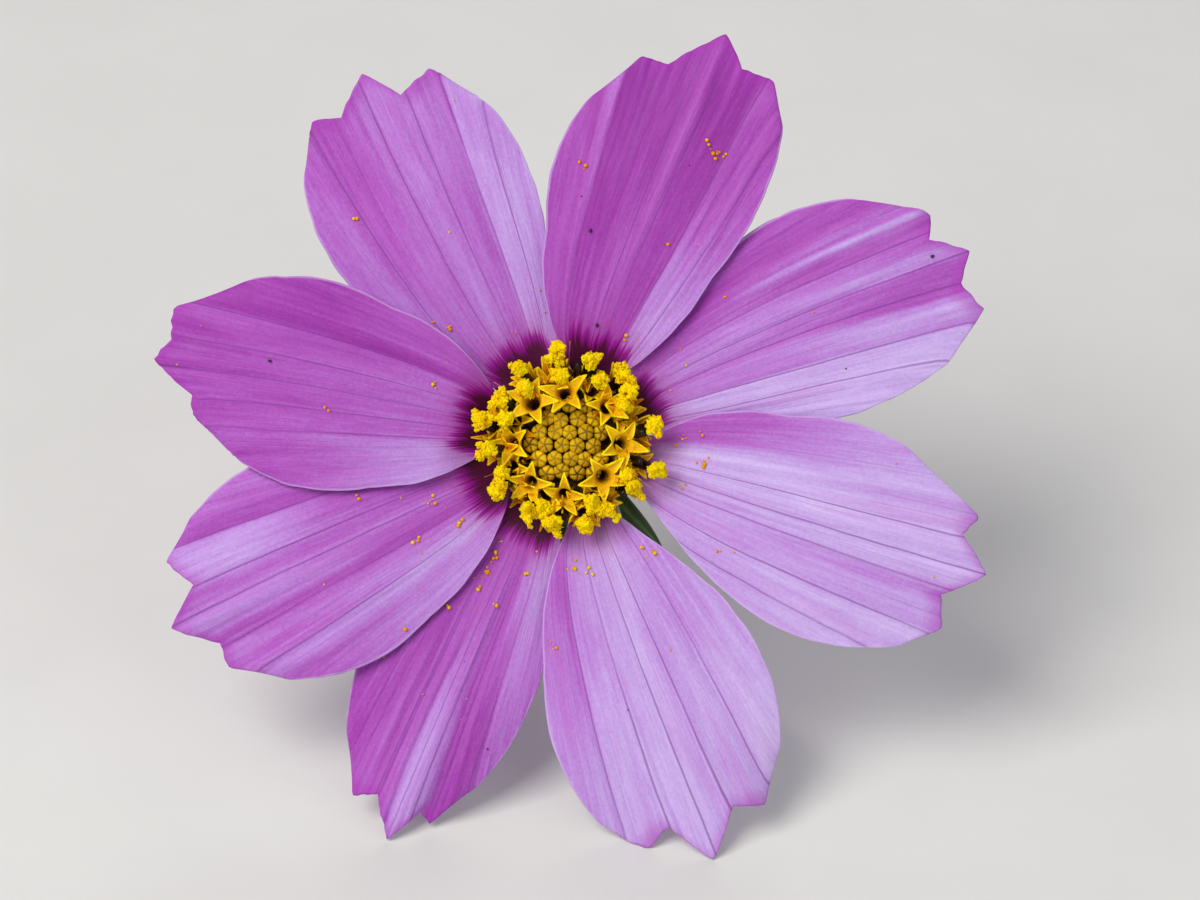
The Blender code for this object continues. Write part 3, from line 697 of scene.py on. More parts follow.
def petal_group():
    """The petals' living pattern, with the paleness, stain, seed and main veins of each as inputs."""
    group = bpy.data.node_groups.new("petal_pattern", "ShaderNodeTree")
    for name in ("Paleness", "Stain", "Seed", "Vein 1", "Vein 2", "Vein 3", "Vein 4", "Vein 5"):
        group.interface.new_socket(name, in_out="INPUT", socket_type="NodeSocketFloat")
    group.interface.new_socket("Color", in_out="OUTPUT", socket_type="NodeSocketColor")
    group.interface.new_socket("Height", in_out="OUTPUT", socket_type="NodeSocketFloat")
    group.interface.new_socket("Roughness", in_out="OUTPUT", socket_type="NodeSocketFloat")
    given = group.nodes.new("NodeGroupInput").outputs
    result = group.nodes.new("NodeGroupOutput").inputs

    spread = add_node(group, "SeparateXYZ", {0: attribute(group, "spread")["Vector"]}).outputs
    across, along, reach = spread[0], spread[1], spread[2]
    fan = attribute(group, "fan")["Fac"]
    place = add_node(group, "CombineXYZ", {0: fan, 1: along, 2: given["Seed"]}).outputs[0]
    flat = own_place(group)

    fibres = grain(group, stretched(group, place, (64.0, 2.6, 7.0)), 1.0, 3.0, 0.65)
    streaks = grain(group, stretched(group, place, (17.0, 1.3, 5.0)), 1.0, 2.0)
    clouds = grain(group, stretched(group, place, (2.8, 3.2, 3.0)), 1.0, 3.0)
    cells = grain(group, flat, 3600.0, 3.0, 0.7)
    crinkles = grain(group, stretched(group, place, (15.0, 11.0, 3.0)), 1.0, 3.0, 0.6)

    # The tone attribute carries painted light and shade on the facets as well as the petal's own tone, and
    # the front's paleness is partly painted light.
    tone_and_shade = calc(group, "ADD", attribute(group, "tone_and_shade")["Fac"], given["Paleness"])
    for pattern, strength in ((fibres, 0.75), (streaks, 0.75), (clouds, 0.75), (cells, 0.85),
                              (crinkles, 0.5)):
        tone_and_shade = swayed(group, tone_and_shade, pattern, strength)
    ramp = add_node(group, "ValToRGB", {0: evenly(group, tone_and_shade, -1.4, 1.6)})
    stops = ramp.color_ramp.elements
    stops[0].position, stops[0].color = 0.0, PETAL_COLOURS[0]
    stops[1].position, stops[1].color = 1.0, PETAL_COLOURS[-1]
    for index, shade in enumerate(PETAL_COLOURS[1:-1], start=1):
        stops.new(index / (len(PETAL_COLOURS) - 1)).color = shade
    body = ramp.outputs["Color"]

    # patches that lean to pink, fine dark main veins, and fainter ones between
    patches = grain(group, stretched(group, place, (3.0, 1.7, 2.0)), 1.0, 2.0)
    body = mixed(group, eased(group, patches, 0.5, 0.75, 0.0, 0.28), body, BLUSH)
    wobble = grain(group, stretched(group, place, (1.4, 3.0, 3.0)), 1.0, 3.0)
    bent = swayed(group, fan, wobble, 0.06)
    wander = eased(group, streaks, 0.25, 0.55, 0.35, 1.0)
    main = lines_at(group, bent, [given[f"Vein {number}"] for number in range(1, 6)], 0.02, wander)
    minor = calc(group, "PINGPONG", calc(group, "MULTIPLY", bent, 6.3), 0.5)
    minor = calc(group, "MULTIPLY", eased(group, minor, 0.09, 0.01), eased(group, streaks, 0.5, 0.66))
    faint = calc(group, "MULTIPLY", minor, 0.26)
    veins = calc(group, "MAXIMUM", calc(group, "MULTIPLY", main, 0.62), faint)
    body = mixed(group, veins, body, VEIN)

    # a magenta flush at the teeth, thin pale margins and the dark feathered base
    reach_out = calc(group, "ADD", along, calc(group, "MULTIPLY", clouds, 0.10))
    body = mixed(group, eased(group, reach_out, 0.99, 1.06, 0.0, 0.6), body, TOOTH_FLUSH)
    from_middle = calc(group, "ABSOLUTE", across)
    margin = calc(group, "MULTIPLY", eased(group, from_middle, 0.975, 0.99, 0.0, 0.4),
                  eased(group, along, 0.98, 0.9))
    body = mixed(group, margin, body, PETAL_COLOURS[-1])
    feather = swayed(group, reach, fibres, 1.8)
    feather = swayed(group, feather, streaks, 2.4)
    feather = swayed(group, feather, clouds, -2.0)
    feather = calc(group, "ADD", feather, eased(group, from_middle, 0.5, 1.0, 0.0, 1.7))
    short = calc(group, "MULTIPLY_ADD", given["Stain"], -1.0, 1.0)
    feather = calc(group, "MULTIPLY_ADD", short, 2.2, feather)
    body = mixed(group, eased(group, feather, 12.4, 9.4, 0.0, 0.45), body, STAIN_HAZE)
    feather = calc(group, "MULTIPLY_ADD", short, 1.8, feather)
    body = mixed(group, eased(group, feather, 10.3, 9.4), body, STAIN_FRINGE)
    body = mixed(group, eased(group, feather, 9.5, 8.5), body, STAIN_DARK)
    group.links.new(body, result["Color"])

    height = calc(group, "ADD", fibres, calc(group, "MULTIPLY", cells, 0.6))
    height = calc(group, "ADD", height, calc(group, "MULTIPLY", crinkles, 2.0))
    height = calc(group, "SUBTRACT", height, calc(group, "MULTIPLY", veins, 0.25))
    group.links.new(height, result["Height"])
    group.links.new(calc(group, "MULTIPLY_ADD", cells, 0.25, 0.38), result["Roughness"])
    return group


petal_pattern = petal_group()


def petal_skin(name, petal, paleness, stain, seed):
    """Velvety petal skin with the shared pattern."""
    finish, tree, shader = new_material(
        name, Subsurface_Weight=0.10, Subsurface_Scale=0.0005, Subsurface_Radius=(1.0, 0.6, 1.0),
        Sheen_Weight=0.06, Sheen_Roughness=0.4, Sheen_Tint=colour(0.9, 0.75, 1.0), Specular_IOR_Level=0.22)
    pattern = tree.nodes.new("ShaderNodeGroup")
    pattern.node_tree = petal_pattern
    pattern.inputs["Paleness"].default_value = paleness
    pattern.inputs["Stain"].default_value = stain
    pattern.inputs["Seed"].default_value = seed
    for number, place in enumerate(petal["veins"], start=1):
        pattern.inputs[f"Vein {number}"].default_value = place
    tree.links.new(pattern.outputs["Color"], shader.inputs["Base Color"])
    tree.links.new(pattern.outputs["Roughness"], shader.inputs["Roughness"])
    bump(tree, shader, pattern.outputs["Height"], 0.00007, 0.6)
    return finish


for number, petal in enumerate(PETALS, start=1):
    seed = SEED_STEP * number
    # The front's paleness is partly painted light: the petals that face the key lamp are painted paler.
    front = petal_skin(f"petal_{number}_front", petal, petal["paler"], petal["stain"], seed)
    back = petal_skin(f"petal_{number}_back", petal, BACK_PALER, BACK_STAIN * petal["stain"], seed)

    def lay_petal(across, along, number=number, petal=petal):
        tone_and_shade, fan = petal_shade_and_tone(number, across, along), fan_place(petal, across, along)
        return petal_place(number, across, along), tone_and_shade, fan

    add_sheet(f"petal_blade_{number}", petal_columns(petal), PETAL_ROWS, lay_petal, [front, back],
              [f"petal_{number}"], PETAL_THICK)


# ---- Unopened florets ----
# The middle of the disc is a cushion of round, tightly shut florets packed side by side. Each has five
# ribs that meet in a point on its top, with painted highlights on their crests and painted shade in the
# grooves and down the lower sides. They grow out of a bed coloured nearly black, painted shade between
# them.
BUD_COUNT = 26
BUD_GAP = 1.3
BUD_JITTER = 0.07
CUSHION_MIDDLE = Vector((0.45, 0.3))
BUD_RADIUS = 0.69
BUD_RIBS = 5
BUD_STALK = 2.3
BUD_SIDES = 60
BUD_ROWS = 24
CUSHION_TOP = 3.6
CUSHION_FALL = 0.085
BED_RADIUS = 5.6
BED_MIDDLE = 1.0
BED_HEIGHT = 1.2


def yellow_skin(name, dark, body, bright, roughness, bump_scale=0.00005):
    """A fleshy yellow skin whose shade attribute runs from painted shade in its shadowed parts to painted
    highlights on its rims.
    """
    finish, tree, shader = new_material(name, Roughness=roughness, Subsurface_Weight=0.12,
                                        Subsurface_Scale=0.0003, Subsurface_Radius=(1.0, 0.6, 0.02),
                                        Specular_IOR_Level=0.14)
    place = own_place(tree)
    fine = grain(tree, place, 5200.0, 3.0, 0.6)
    patches = grain(tree, place, 900.0, 2.0)
    shade = attribute(tree, "shade")["Fac"]
    shade = swayed(tree, swayed(tree, shade, fine, 0.35), patches, 0.4)
    # dark is the colour of painted shade and bright that of painted highlights.
    tint = mixed(tree, eased(tree, shade, 0.0, 0.5), dark, body)
    tint = mixed(tree, eased(tree, shade, 0.5, 1.0), tint, bright)
    tree.links.new(tint, shader.inputs["Base Color"])
    bump(tree, shader, fine, bump_scale)
    return finish


def floret_frame(azimuth, base, lean, twist, height=0.05):
    """From a floret's own axes, with Z along it and X outwards, to the head's."""
    foot = turn_out(azimuth, (base, 0.0, height))
    turned = Matrix.Rotation(math.radians(azimuth), 4, "Z") @ Matrix.Rotation(math.radians(lean), 4, "Y")
    return Matrix.Translation(foot) @ turned @ Matrix.Rotation(twist, 4, "Z")


def shaded_shape():
    """An empty shape, and the layer of the shade attribute that the yellow skins read."""
    shape = bmesh.new()
    return shape, shape.verts.layers.float.new("shade")


def honeycomb(count, gap, middle, picker):
    """The places of a slightly disturbed honeycomb that lie nearest to its middle."""
    cells = [
        Vector((gap * (column + 0.5 * (row % 2)), gap * row * math.sqrt(0.75))) - middle
        for row in range(-4, 5) for column in range(-4, 5)
    ]
    cells.sort(key=lambda cell: cell.length)
    return [
        cell + Vector((picker.gauss(0.0, BUD_JITTER), picker.gauss(0.0, BUD_JITTER)))
        for cell in cells[:count]
    ]


bud_skin = yellow_skin("bud_skin", colour(0.055, 0.030, 0.001), colour(0.55, 0.32, 0.003),
                       colour(1.0, 0.64, 0.006), 0.5)
rng = random.Random(7)
shape, shade_layer = shaded_shape()
for spot in honeycomb(BUD_COUNT, BUD_GAP, CUSHION_MIDDLE, rng):
    distance = spot.length
    azimuth = math.degrees(math.atan2(spot.y, spot.x))
    size = BUD_RADIUS * (0.94 + 0.12 * distance / 3.0) * rng.uniform(0.96, 1.04)
    top = CUSHION_TOP - CUSHION_FALL * distance ** 2 + rng.uniform(-0.10, 0.10)
    ripe = smooth((distance - 2.0) / 1.4)
    placed = floret_frame(azimuth, distance, 6.0 * distance, rng.uniform(0.0, 6.28), top)
    tint = rng.uniform(-0.14, 0.10)
    for vertex in bmesh.ops.create_uvsphere(shape, u_segments=BUD_SIDES, v_segments=BUD_ROWS,
                                               radius=1.0)["verts"]:
        out, level = math.hypot(vertex.co.x, vertex.co.y), vertex.co.z
        angle = math.atan2(vertex.co.y, vertex.co.x)
        rib = smooth(1.7 * out * abs(math.cos(BUD_RIBS * (angle + 0.25 * out) / 2.0)) + 0.12)
        upper = smooth(level * 2.0 + 0.3)
        radius = size * out * (1.0 - 0.08 * (1.0 - rib) * upper)
        groove = 0.13 * size * (1.0 - rib) * math.sin(math.pi * min(out, 1.0)) * upper
        height = 0.74 * size * level - groove if level > 0.0 else BUD_STALK * level
        dimple = 0.12 * size * max(0.0, 1.0 - (out / 0.25) ** 2) if level > 0.0 else 0.0
        # Painted light: lit is bright on the rib crests of the top and falls to painted shade in the
        # grooves, and the next line darkens the lower sides as painted shade. Riper buds further out are a
        # little lighter in their own colour, and each bud's tint differs at random.
        lit = 0.18 + tint + (0.36 + 0.24 * ripe + 0.16 * out) * rib * upper
        vertex[shade_layer] = lit * (0.1 + 0.9 * smooth(level * 1.5 + 0.1))
        local = Vector((radius * math.cos(angle), radius * math.sin(angle), height - dimple))
        vertex.co = on_head(placed @ local)
add_piece("unopened_florets", shape, [bud_skin], ["closed_florets"])

# Painted shade: the bed is coloured nearly black to stand for the shade in the gaps between the florets.
bed_shade_skin, bed_tree, bed_shader = new_material("bed_shade_skin", Roughness=0.85)
bed_grain = grain(bed_tree, own_place(bed_tree), 2600.0, 3.0)
bed_shade_tint = mixed(bed_tree, eased(bed_tree, bed_grain, 0.4, 0.7), colour(0.012, 0.006, 0.001),
                 colour(0.09, 0.04, 0.004))
bed_tree.links.new(bed_shade_tint, bed_shader.inputs["Base Color"])
shape = bmesh.new()
bmesh.ops.create_uvsphere(shape, u_segments=64, v_segments=32, radius=1.0)
for vertex in shape.verts:
    swell = 0.25 * noise.noise(vertex.co * 7.0)
    height = BED_MIDDLE + vertex.co.z * BED_HEIGHT + swell
    vertex.co = on_head((vertex.co.x * BED_RADIUS, vertex.co.y * BED_RADIUS, height))
add_piece("disc_bed", shape, [bed_shade_skin])


# ---- Star florets ----
# Around the buds stands a ring of open florets. Each is a slender yellow tube that widens into a bell
# with five pointed lobes, with painted shade in its throat and down the middle of each lobe, and painted
# highlights along the rims of its lobes.
LOBES = 5
COROLLA_WALL = 0.15
COROLLA_SIDES = 60
COROLLA_ROWS = 20
TUBE_SHARE = 0.5
MOUTH_RADIUS = 0.92
TUBE_HEIGHT = 3.75
LOBE_LENGTH = 1.4
LOBE_HOLLOW = 0.34
STAR_FOOT = 3.4
# Radius of the tube by the height, from its foot to its mouth
TUBE_LINE = ((0.0, 0.25), (0.8, 0.3), (2.1, 0.40), (2.7, 0.50), (3.2, 0.68), (3.75, 0.92))


def line_value(line, run):
    """Value on a line through (run, value) points."""
    for (low, first), (high, second) in zip(line, line[1:]):
        if run <= high:
            return first + (second - first) * (run - low) / (high - low)
    return line[-1][1]


def add_corolla(shape, shade_layer, placed, size, opening, wilt, seed):
    """A tube that opens into five pointed lobes, which rise by opening in radians; wilt is 0 to 1."""
    picker = random.Random(seed)
    lengths = [picker.uniform(0.85, 1.12) for _ in range(LOBES)]
    rises = [
        opening + picker.uniform(-0.25, 0.25) + wilt * picker.uniform(-0.7, 0.7)
        for _ in range(LOBES)
    ]
    curls = [picker.uniform(0.2, 0.9) + wilt * picker.uniform(-1.6, 1.2) for _ in range(LOBES)]
    leans = [picker.uniform(-0.15, 0.15) * (1.0 + 2.0 * wilt) for _ in range(LOBES)]
    fresh = bmesh.ops.create_grid(
        shape, x_segments=COROLLA_SIDES, y_segments=COROLLA_ROWS, size=0.5)["verts"]
    for vertex in fresh:
        turn, run = vertex.co.x + 0.5, vertex.co.y + 0.5
        lobe = min(int(turn * LOBES + 1e-6), LOBES - 1)
        side = (turn * LOBES - lobe - 0.5) * 2.0
        middle = 2.0 * math.pi * (lobe + 0.5) / LOBES
        aside = side * math.pi / LOBES
        if run < TUBE_SHARE + 1e-6:
            height = TUBE_HEIGHT * (run / TUBE_SHARE) ** 0.8
            radius = line_value(TUBE_LINE, height)
            forward, lateral = radius * math.cos(aside), radius * math.sin(aside)
            # Painted shade: the tube darkens towards its foot, deep in its throat.
            vertex[shade_layer] = 0.04 + 0.42 * smooth((height - 2.2) / 1.6)
        else:
            point = 1.0 - abs(side) ** 1.5
            along = (run - TUBE_SHARE) / (1.0 - TUBE_SHARE) * point
            length = LOBE_LENGTH * lengths[lobe] * along
            rise = rises[lobe] - curls[lobe] * along * 0.5
            forward = MOUTH_RADIUS * math.cos(aside) + length * math.cos(rise)
            lateral = MOUTH_RADIUS * math.sin(aside) * (1.0 - 0.2 * along)
            lateral += leans[lobe] * length
            widest = max((1.0 - along) ** 0.8, 0.05)
            edge = min(abs(side) / widest, 1.0)
            hollow = LOBE_HOLLOW * (edge ** 2 - 0.4) * smooth(along * 4.0) * widest
            height = TUBE_HEIGHT + length * math.sin(rise) + hollow
            # Painted light: lighter towards the lobe's tip, painted shade in a crease down the middle near
            # its foot, and painted highlights along its rim and edges.
            rim = 1.0 - smooth((point - along) * LOBE_LENGTH / 0.45)
            crease_shade = 0.16 * (1.0 - smooth(edge * 3.0)) * (1.0 - along)
            lit = 0.42 + 0.28 * along - crease_shade
            vertex[shade_layer] = lit + 0.5 * max(rim, edge ** 6) * smooth(along * 3.0 + 0.25)
        across = Vector((math.cos(middle), math.sin(middle))) * forward
        across += Vector((-math.sin(middle), math.cos(middle))) * lateral
        local = Vector((across.x * size, across.y * size, height * (0.4 + 0.6 * size)))
        vertex.co = on_head(placed @ local)
    bmesh.ops.remove_doubles(shape, verts=fresh, dist=0.004 * MM)


star_skin = yellow_skin("star_skin", colour(0.09, 0.028, 0.001), colour(0.84, 0.46, 0.002),
                        colour(1.0, 0.76, 0.003), 0.5)
rng = random.Random(21)
for number in range(1, RING_COUNT + 1):
    azimuth = (number - 1) * 360.0 / RING_COUNT + rng.uniform(-4.0, 4.0)
    inner = number % 2 == 1
    size = rng.uniform(0.90, 1.08) if inner else rng.uniform(0.78, 0.92)
    lean = rng.uniform(12.0, 24.0) if inner else rng.uniform(26.0, 35.0)
    shape, shade_layer = shaded_shape()
    placed = floret_frame(azimuth, STAR_FOOT, lean, rng.uniform(0.0, 6.28), 0.4 if inner else -0.1)
    add_corolla(shape, shade_layer, placed, size, rng.uniform(0.2, 0.9), 0.3 if inner else 0.6, number)
    add_walled(f"star_corolla_{number}", shape, [star_skin], [f"star_floret_{number}"],
               COROLLA_WALL)


# ---- Pollen florets ----
# The outer, older florets lean out over the petals. A nearly black tube of anthers stands out of each
# and carries a lump of sticky yellow pollen, pushed out by two curled style arms.
ANTHER_RADIUS = 0.43
ANTHER_START = 2.6
ANTHER_END = 5.3
ANTHER_GROOVES = 5
CLOT_SIZES = (0.22, 0.50)
CLOT_COUNT = 14
ARM_RADIUS = 0.2
ARM_CLOTS = 7
POLLEN_FOOT = 4.0
WEDGED_COUNT = 14
WEDGED_FOOT = 3.8
BARE_COUNT = 14
BARE_FOOT = 3.9
SHORT_START = 2.2
INNER_POLLEN_FOOT = 3.7
INNER_POLLEN_TURNS = (34.0, 62.0, 97.0, 128.0, 160.0, 206.0, 250.0, 292.0, 331.0)


def pollen_skin():
    """Sticky pollen: saturated yellow, with painted shade that turns it orange in its hollows, soft and
    powdery.
    """
    finish, tree, shader = new_material("pollen_skin", Roughness=0.75, Subsurface_Weight=0.25,
                                        Subsurface_Scale=0.0004, Subsurface_Radius=(1.0, 0.7, 0.02),
                                        Specular_IOR_Level=0.08)
    place = own_place(tree)
    fine = grain(tree, place, 7000.0, 3.0, 0.65)
    shade = swayed(tree, attribute(tree, "shade")["Fac"], fine, 0.4)
    tint = mixed(tree, eased(tree, shade, 0.0, 0.55), colour(0.88, 0.32, 0.0), colour(1.0, 0.71, 0.0))
    tree.links.new(tint, shader.inputs["Base Color"])
    bump(tree, shader, fine, 0.00006)
    return finish


def anther_skin():
    """Shiny, nearly black brown anthers with fine lengthwise lines."""
    finish, tree, shader = new_material("anther_skin", Roughness=0.35, Specular_IOR_Level=0.3)
    place = own_place(tree)
    fine = grain(tree, place, 3500.0, 3.0)
    shade = attribute(tree, "shade")["Fac"]
    tint = mixed(tree, eased(tree, shade, 0.0, 1.0), colour(0.16, 0.05, 0.004), colour(0.006, 0.002, 0.001))
    tint = mixed(tree, eased(tree, fine, 0.55, 0.8, 0.0, 0.3), tint, colour(0.06, 0.016, 0.004))
    tree.links.new(tint, shader.inputs["Base Color"])
    bump(tree, shader, fine, 0.00004)
    return finish


def add_anthers(shape, shade_layer, placed, start, end, size):
    """A five-grooved dark tube that stands out of the corolla."""

    def lay(vertex, run, angle, wide):
        along = start + run * (end - start)
        swell = 0.86 + 0.2 * math.sin(math.pi * min(run * 1.1, 1.0))
        groove = abs(math.sin(ANTHER_GROOVES * angle / 2.0)) ** 4
        radius = ANTHER_RADIUS * size * swell * (1.0 - 0.12 * groove) * wide
        vertex[shade_layer] = smooth(run * 3.0)
        return on_head(placed @ Vector((radius * math.cos(angle), radius * math.sin(angle), along)))

    add_bar(shape, 30, 10, lay)


def add_grain(shape, shade_layer, place, size, shade):
    """One small clot of pollen grains."""
    for vertex in bmesh.ops.create_icosphere(shape, subdivisions=1, radius=size * MM)["verts"]:
        vertex[shade_layer] = shade
        vertex.co += place


def add_clot(shape, shade_layer, middle, size, shade, picker):
    """An uneven clot of sticky pollen."""
    offset = Vector([picker.uniform(0, 9) for _ in range(3)])
    for vertex in bmesh.ops.create_icosphere(shape, subdivisions=3, radius=1.0)["verts"]:
        direction = vertex.co.normalized()
        knobs = noise.noise(direction * 3.1 + offset)
        rough = 1.0 + 0.9 * noise.noise(direction * 1.3 + offset) + 0.5 * knobs
        # Painted light: knobs that stand out are painted lighter and the hollows between them darker
        # orange, on top of a shade that differs at random from clot to clot.
        vertex[shade_layer] = shade + 1.1 * knobs
        vertex.co = on_head(middle + direction * size * rough)


def any_way(picker):
    """A random direction."""
    return Vector([picker.gauss(0, 1) for _ in range(3)]).normalized()


def add_lump(shape, shade_layer, middle, axis, radii, picker):
    """A crumbly lump of pollen: clots of all sizes that stick together, with a few loose grains."""
    turned = axis.to_track_quat("Z", "Y").to_matrix()
    for _ in range(CLOT_COUNT):
        direction = any_way(picker)
        away = picker.uniform(0.2, 1.0)
        spot = turned @ Vector((direction.x * radii[0], direction.y * radii[0], direction.z * radii[1]))
        size = picker.uniform(*CLOT_SIZES) * (1.25 - 0.5 * away)
        add_clot(shape, shade_layer, middle + spot * away, size, picker.uniform(0.3, 0.8), picker)
        for _ in range(3):
            aside = any_way(picker)
            near = on_head(middle + spot * away + aside * size * picker.uniform(0.9, 1.15))
            add_grain(shape, shade_layer, near, picker.uniform(0.06, 0.13), picker.uniform(0.3, 1.0))


def add_arm(shape, shade_layer, placed, start, lean, bend, length, picker):
    """A curled style arm thick with pollen."""

    def route(run):
        angle = lean + bend * run
        out = length * (math.sin(lean) * run + (math.sin(angle) - math.sin(lean)) * run * 0.5)
        up = length * run * math.cos(lean + bend * run * 0.5)
        return Vector((out, 0.0, start + up))

    def lay(vertex, run, angle, wide):
        middle = route(run)
        ahead = (route(run + 0.02) - middle).normalized()
        side = Vector((0.0, 1.0, 0.0))
        other = ahead.cross(side)
        radius = ARM_RADIUS * (1.0 - 0.5 * run ** 3) * wide
        vertex[shade_layer] = 0.5
        return on_head(placed @ (middle + (side * math.cos(angle) + other * math.sin(angle)) * radius))

    add_bar(shape, 10, 10, lay)
    for index in range(ARM_CLOTS):
        run, turn = (index + picker.random()) / ARM_CLOTS, picker.uniform(0.0, 6.28)
        aside = Vector((0.12 * math.cos(turn), 0.12 * math.sin(turn), 0.1 * math.sin(3.0 * turn)))
        spot = placed @ (route(run) + aside)
        add_clot(shape, shade_layer, spot, picker.uniform(0.14, 0.3), picker.uniform(0.3, 0.9), picker)


old_skin = yellow_skin("old_corolla_skin", colour(0.09, 0.022, 0.001), colour(0.82, 0.34, 0.001),
                       colour(1.0, 0.62, 0.002), 0.55)
anther_finish, pollen_finish = anther_skin(), pollen_skin()


def add_anthers_and_pollen(name, placed, start, end, size, arms, picker):
    """The anther tube that stands out of one floret, and the pollen on it."""
    shape, shade_layer = shaded_shape()
    add_anthers(shape, shade_layer, placed, start, end, size)
    add_piece(f"anthers_{name}", shape, [anther_finish])

    shape, shade_layer = shaded_shape()
    axis = placed.to_3x3() @ Vector((picker.uniform(-0.8, 0.8), picker.uniform(-0.8, 0.8), 1.0))
    radii = (size * picker.uniform(0.5, 0.85), size * picker.uniform(0.5, 0.95))
    add_lump(shape, shade_layer, placed @ Vector((0.0, 0.0, end + 0.3)), axis, radii, picker)
    for side in range(arms):
        turned = placed @ Matrix.Rotation(side * math.pi + picker.uniform(-0.5, 0.5), 4, "Z")
        add_arm(shape, shade_layer, turned, end + 0.15, 0.3, picker.uniform(0.8, 1.9),
                size * picker.uniform(1.1, 1.9), picker)
    add_piece(f"pollen_{name}", shape, [pollen_finish])


for number in range(1, RING_COUNT + 1):
    picker = random.Random(300 + number)
    azimuth = (number - 0.5) * 360.0 / RING_COUNT + picker.uniform(-6.0, 6.0)
    lean = picker.uniform(30.0, 42.0)
    shape, shade_layer = shaded_shape()
    placed = floret_frame(azimuth, POLLEN_FOOT, lean, picker.uniform(0.0, 6.28))
    size, opening = picker.uniform(0.66, 0.86), picker.uniform(0.3, 0.9)
    add_corolla(shape, shade_layer, placed, size, opening, 0.8, 40 + number)
    add_walled(f"old_corolla_{number}", shape, [old_skin], [f"pollen_floret_{number}"],
               COROLLA_WALL)
    add_anthers_and_pollen(f"{number}", placed, ANTHER_START, ANTHER_END + picker.uniform(-0.9, 0.5),
                           picker.uniform(0.9, 1.15), (2, 0, 1, 2)[number % 4], picker)

# Smaller, half wilted florets are wedged between them.
shape, shade_layer = shaded_shape()
for number in range(WEDGED_COUNT):
    picker = random.Random(500 + number)
    azimuth = number * 360.0 / WEDGED_COUNT + picker.uniform(-6.0, 6.0)
    lean, twist = picker.uniform(27.0, 45.0), picker.uniform(0.0, 6.28)
    placed = floret_frame(azimuth, WEDGED_FOOT, lean, twist, -0.3)
    size, opening = picker.uniform(0.66, 0.84), picker.uniform(0.2, 1.1)
    add_corolla(shape, shade_layer, placed, size, opening, 1.0, 80 + number)
add_walled("wedged_corollas", shape, [old_skin], (), COROLLA_WALL)

# Anther tubes that have lost their pollen stand between them.
shape, shade_layer = shaded_shape()
for number in range(BARE_COUNT):
    picker = random.Random(700 + number)
    azimuth = (number + 0.5) * 360.0 / BARE_COUNT + picker.uniform(-9.0, 9.0)
    placed = floret_frame(azimuth, BARE_FOOT, picker.uniform(28.0, 44.0), 0.0)
    end, size = picker.uniform(4.5, 5.5), picker.uniform(0.75, 0.95)
    add_anthers(shape, shade_layer, placed, SHORT_START, end, size)
add_piece("bare_anthers", shape, [anther_finish])

# Some of the inner florets are old enough to have opened their anthers too.
for number, azimuth in enumerate(INNER_POLLEN_TURNS, start=1):
    picker = random.Random(600 + number)
    lean, twist = picker.uniform(24.0, 34.0), picker.uniform(0.0, 6.28)
    placed = floret_frame(azimuth, INNER_POLLEN_FOOT, lean, twist)
    add_anthers_and_pollen(f"inner_{number}", placed, SHORT_START, picker.uniform(4.0, 4.8),
                           picker.uniform(0.75, 0.95), number % 3, picker)


# ---- Chaff, threads and dust ----
# Thin orange-brown scales and dry threads stand between the florets, and pollen has fallen on the
# petals, most of it on the lower ones close to the disc. A few dark specks lie there too.
CHAFF_COUNT = 84
CHAFF_FEET = (3.0, 3.8, 4.3, 4.3)
CHAFF_WALL = 0.06
THREAD_COUNT = 20
THREAD_RADIUS = 0.045
DUST_COUNT = 46

shape, shade_layer = shaded_shape()
rng = random.Random(5)
for index in range(CHAFF_COUNT):
    azimuth = index * 360.0 / CHAFF_COUNT + rng.uniform(-3.0, 3.0)
    base = rng.choice(CHAFF_FEET)
    lean = math.radians(rng.uniform(22.0, 34.0) + 8.0 * (base - 3.0))
    length = rng.uniform(3.2, 4.4) + (rng.uniform(0.0, 0.8) if base > 4.0 else 0.0)
    half, twist, curl = rng.uniform(0.25, 0.5), rng.uniform(-0.9, 0.9), rng.uniform(-0.6, 0.4)
    for vertex in bmesh.ops.create_grid(shape, x_segments=4, y_segments=12, size=0.5)["verts"]:
        across, along = 2.0 * vertex.co.x, vertex.co.y + 0.5
        width = half * math.sin(math.pi * (0.2 + 0.78 * along)) * across
        bow = lean + curl * along ** 2
        out = base + length * along * math.sin(bow)
        height = 0.1 + length * along * math.cos(bow) + 0.35 * abs(across) * half
        vertex[shade_layer] = 0.1 + 0.65 * along + 0.2 * abs(across)
        place = (out + twist * width, width + 0.4 * twist * along ** 2, height)
        vertex.co = on_head(turn_out(azimuth, place))
chaff_skin = yellow_skin("chaff_skin", colour(0.10, 0.024, 0.001), colour(0.58, 0.20, 0.002),
                         colour(0.92, 0.42, 0.002), 0.45)
add_walled("chaff", shape, [chaff_skin], (), CHAFF_WALL)

shape, shade_layer = shaded_shape()
for index in range(THREAD_COUNT):
    azimuth, base = rng.uniform(0.0, 360.0), rng.uniform(3.8, 5.0)
    lean, length = rng.uniform(0.45, 0.8), rng.uniform(3.6, 5.4)
    bend, sway = rng.uniform(-0.5, 0.35), rng.uniform(-0.7, 0.7)

    def lay_thread(vertex, run, angle, wide):
        bow = lean + bend * run
        out, up = base + length * run * math.sin(bow), 1.0 + length * run * math.cos(bow)
        radius = THREAD_RADIUS * wide * (1.0 - 0.5 * run)
        vertex[shade_layer] = 0.5 + 0.3 * run
        place = (out, sway * run ** 2 + radius * math.cos(angle), up + radius * math.sin(angle))
        return on_head(turn_out(azimuth, place))

    add_bar(shape, 6, 12, lay_thread)
add_piece("threads", shape, [chaff_skin])

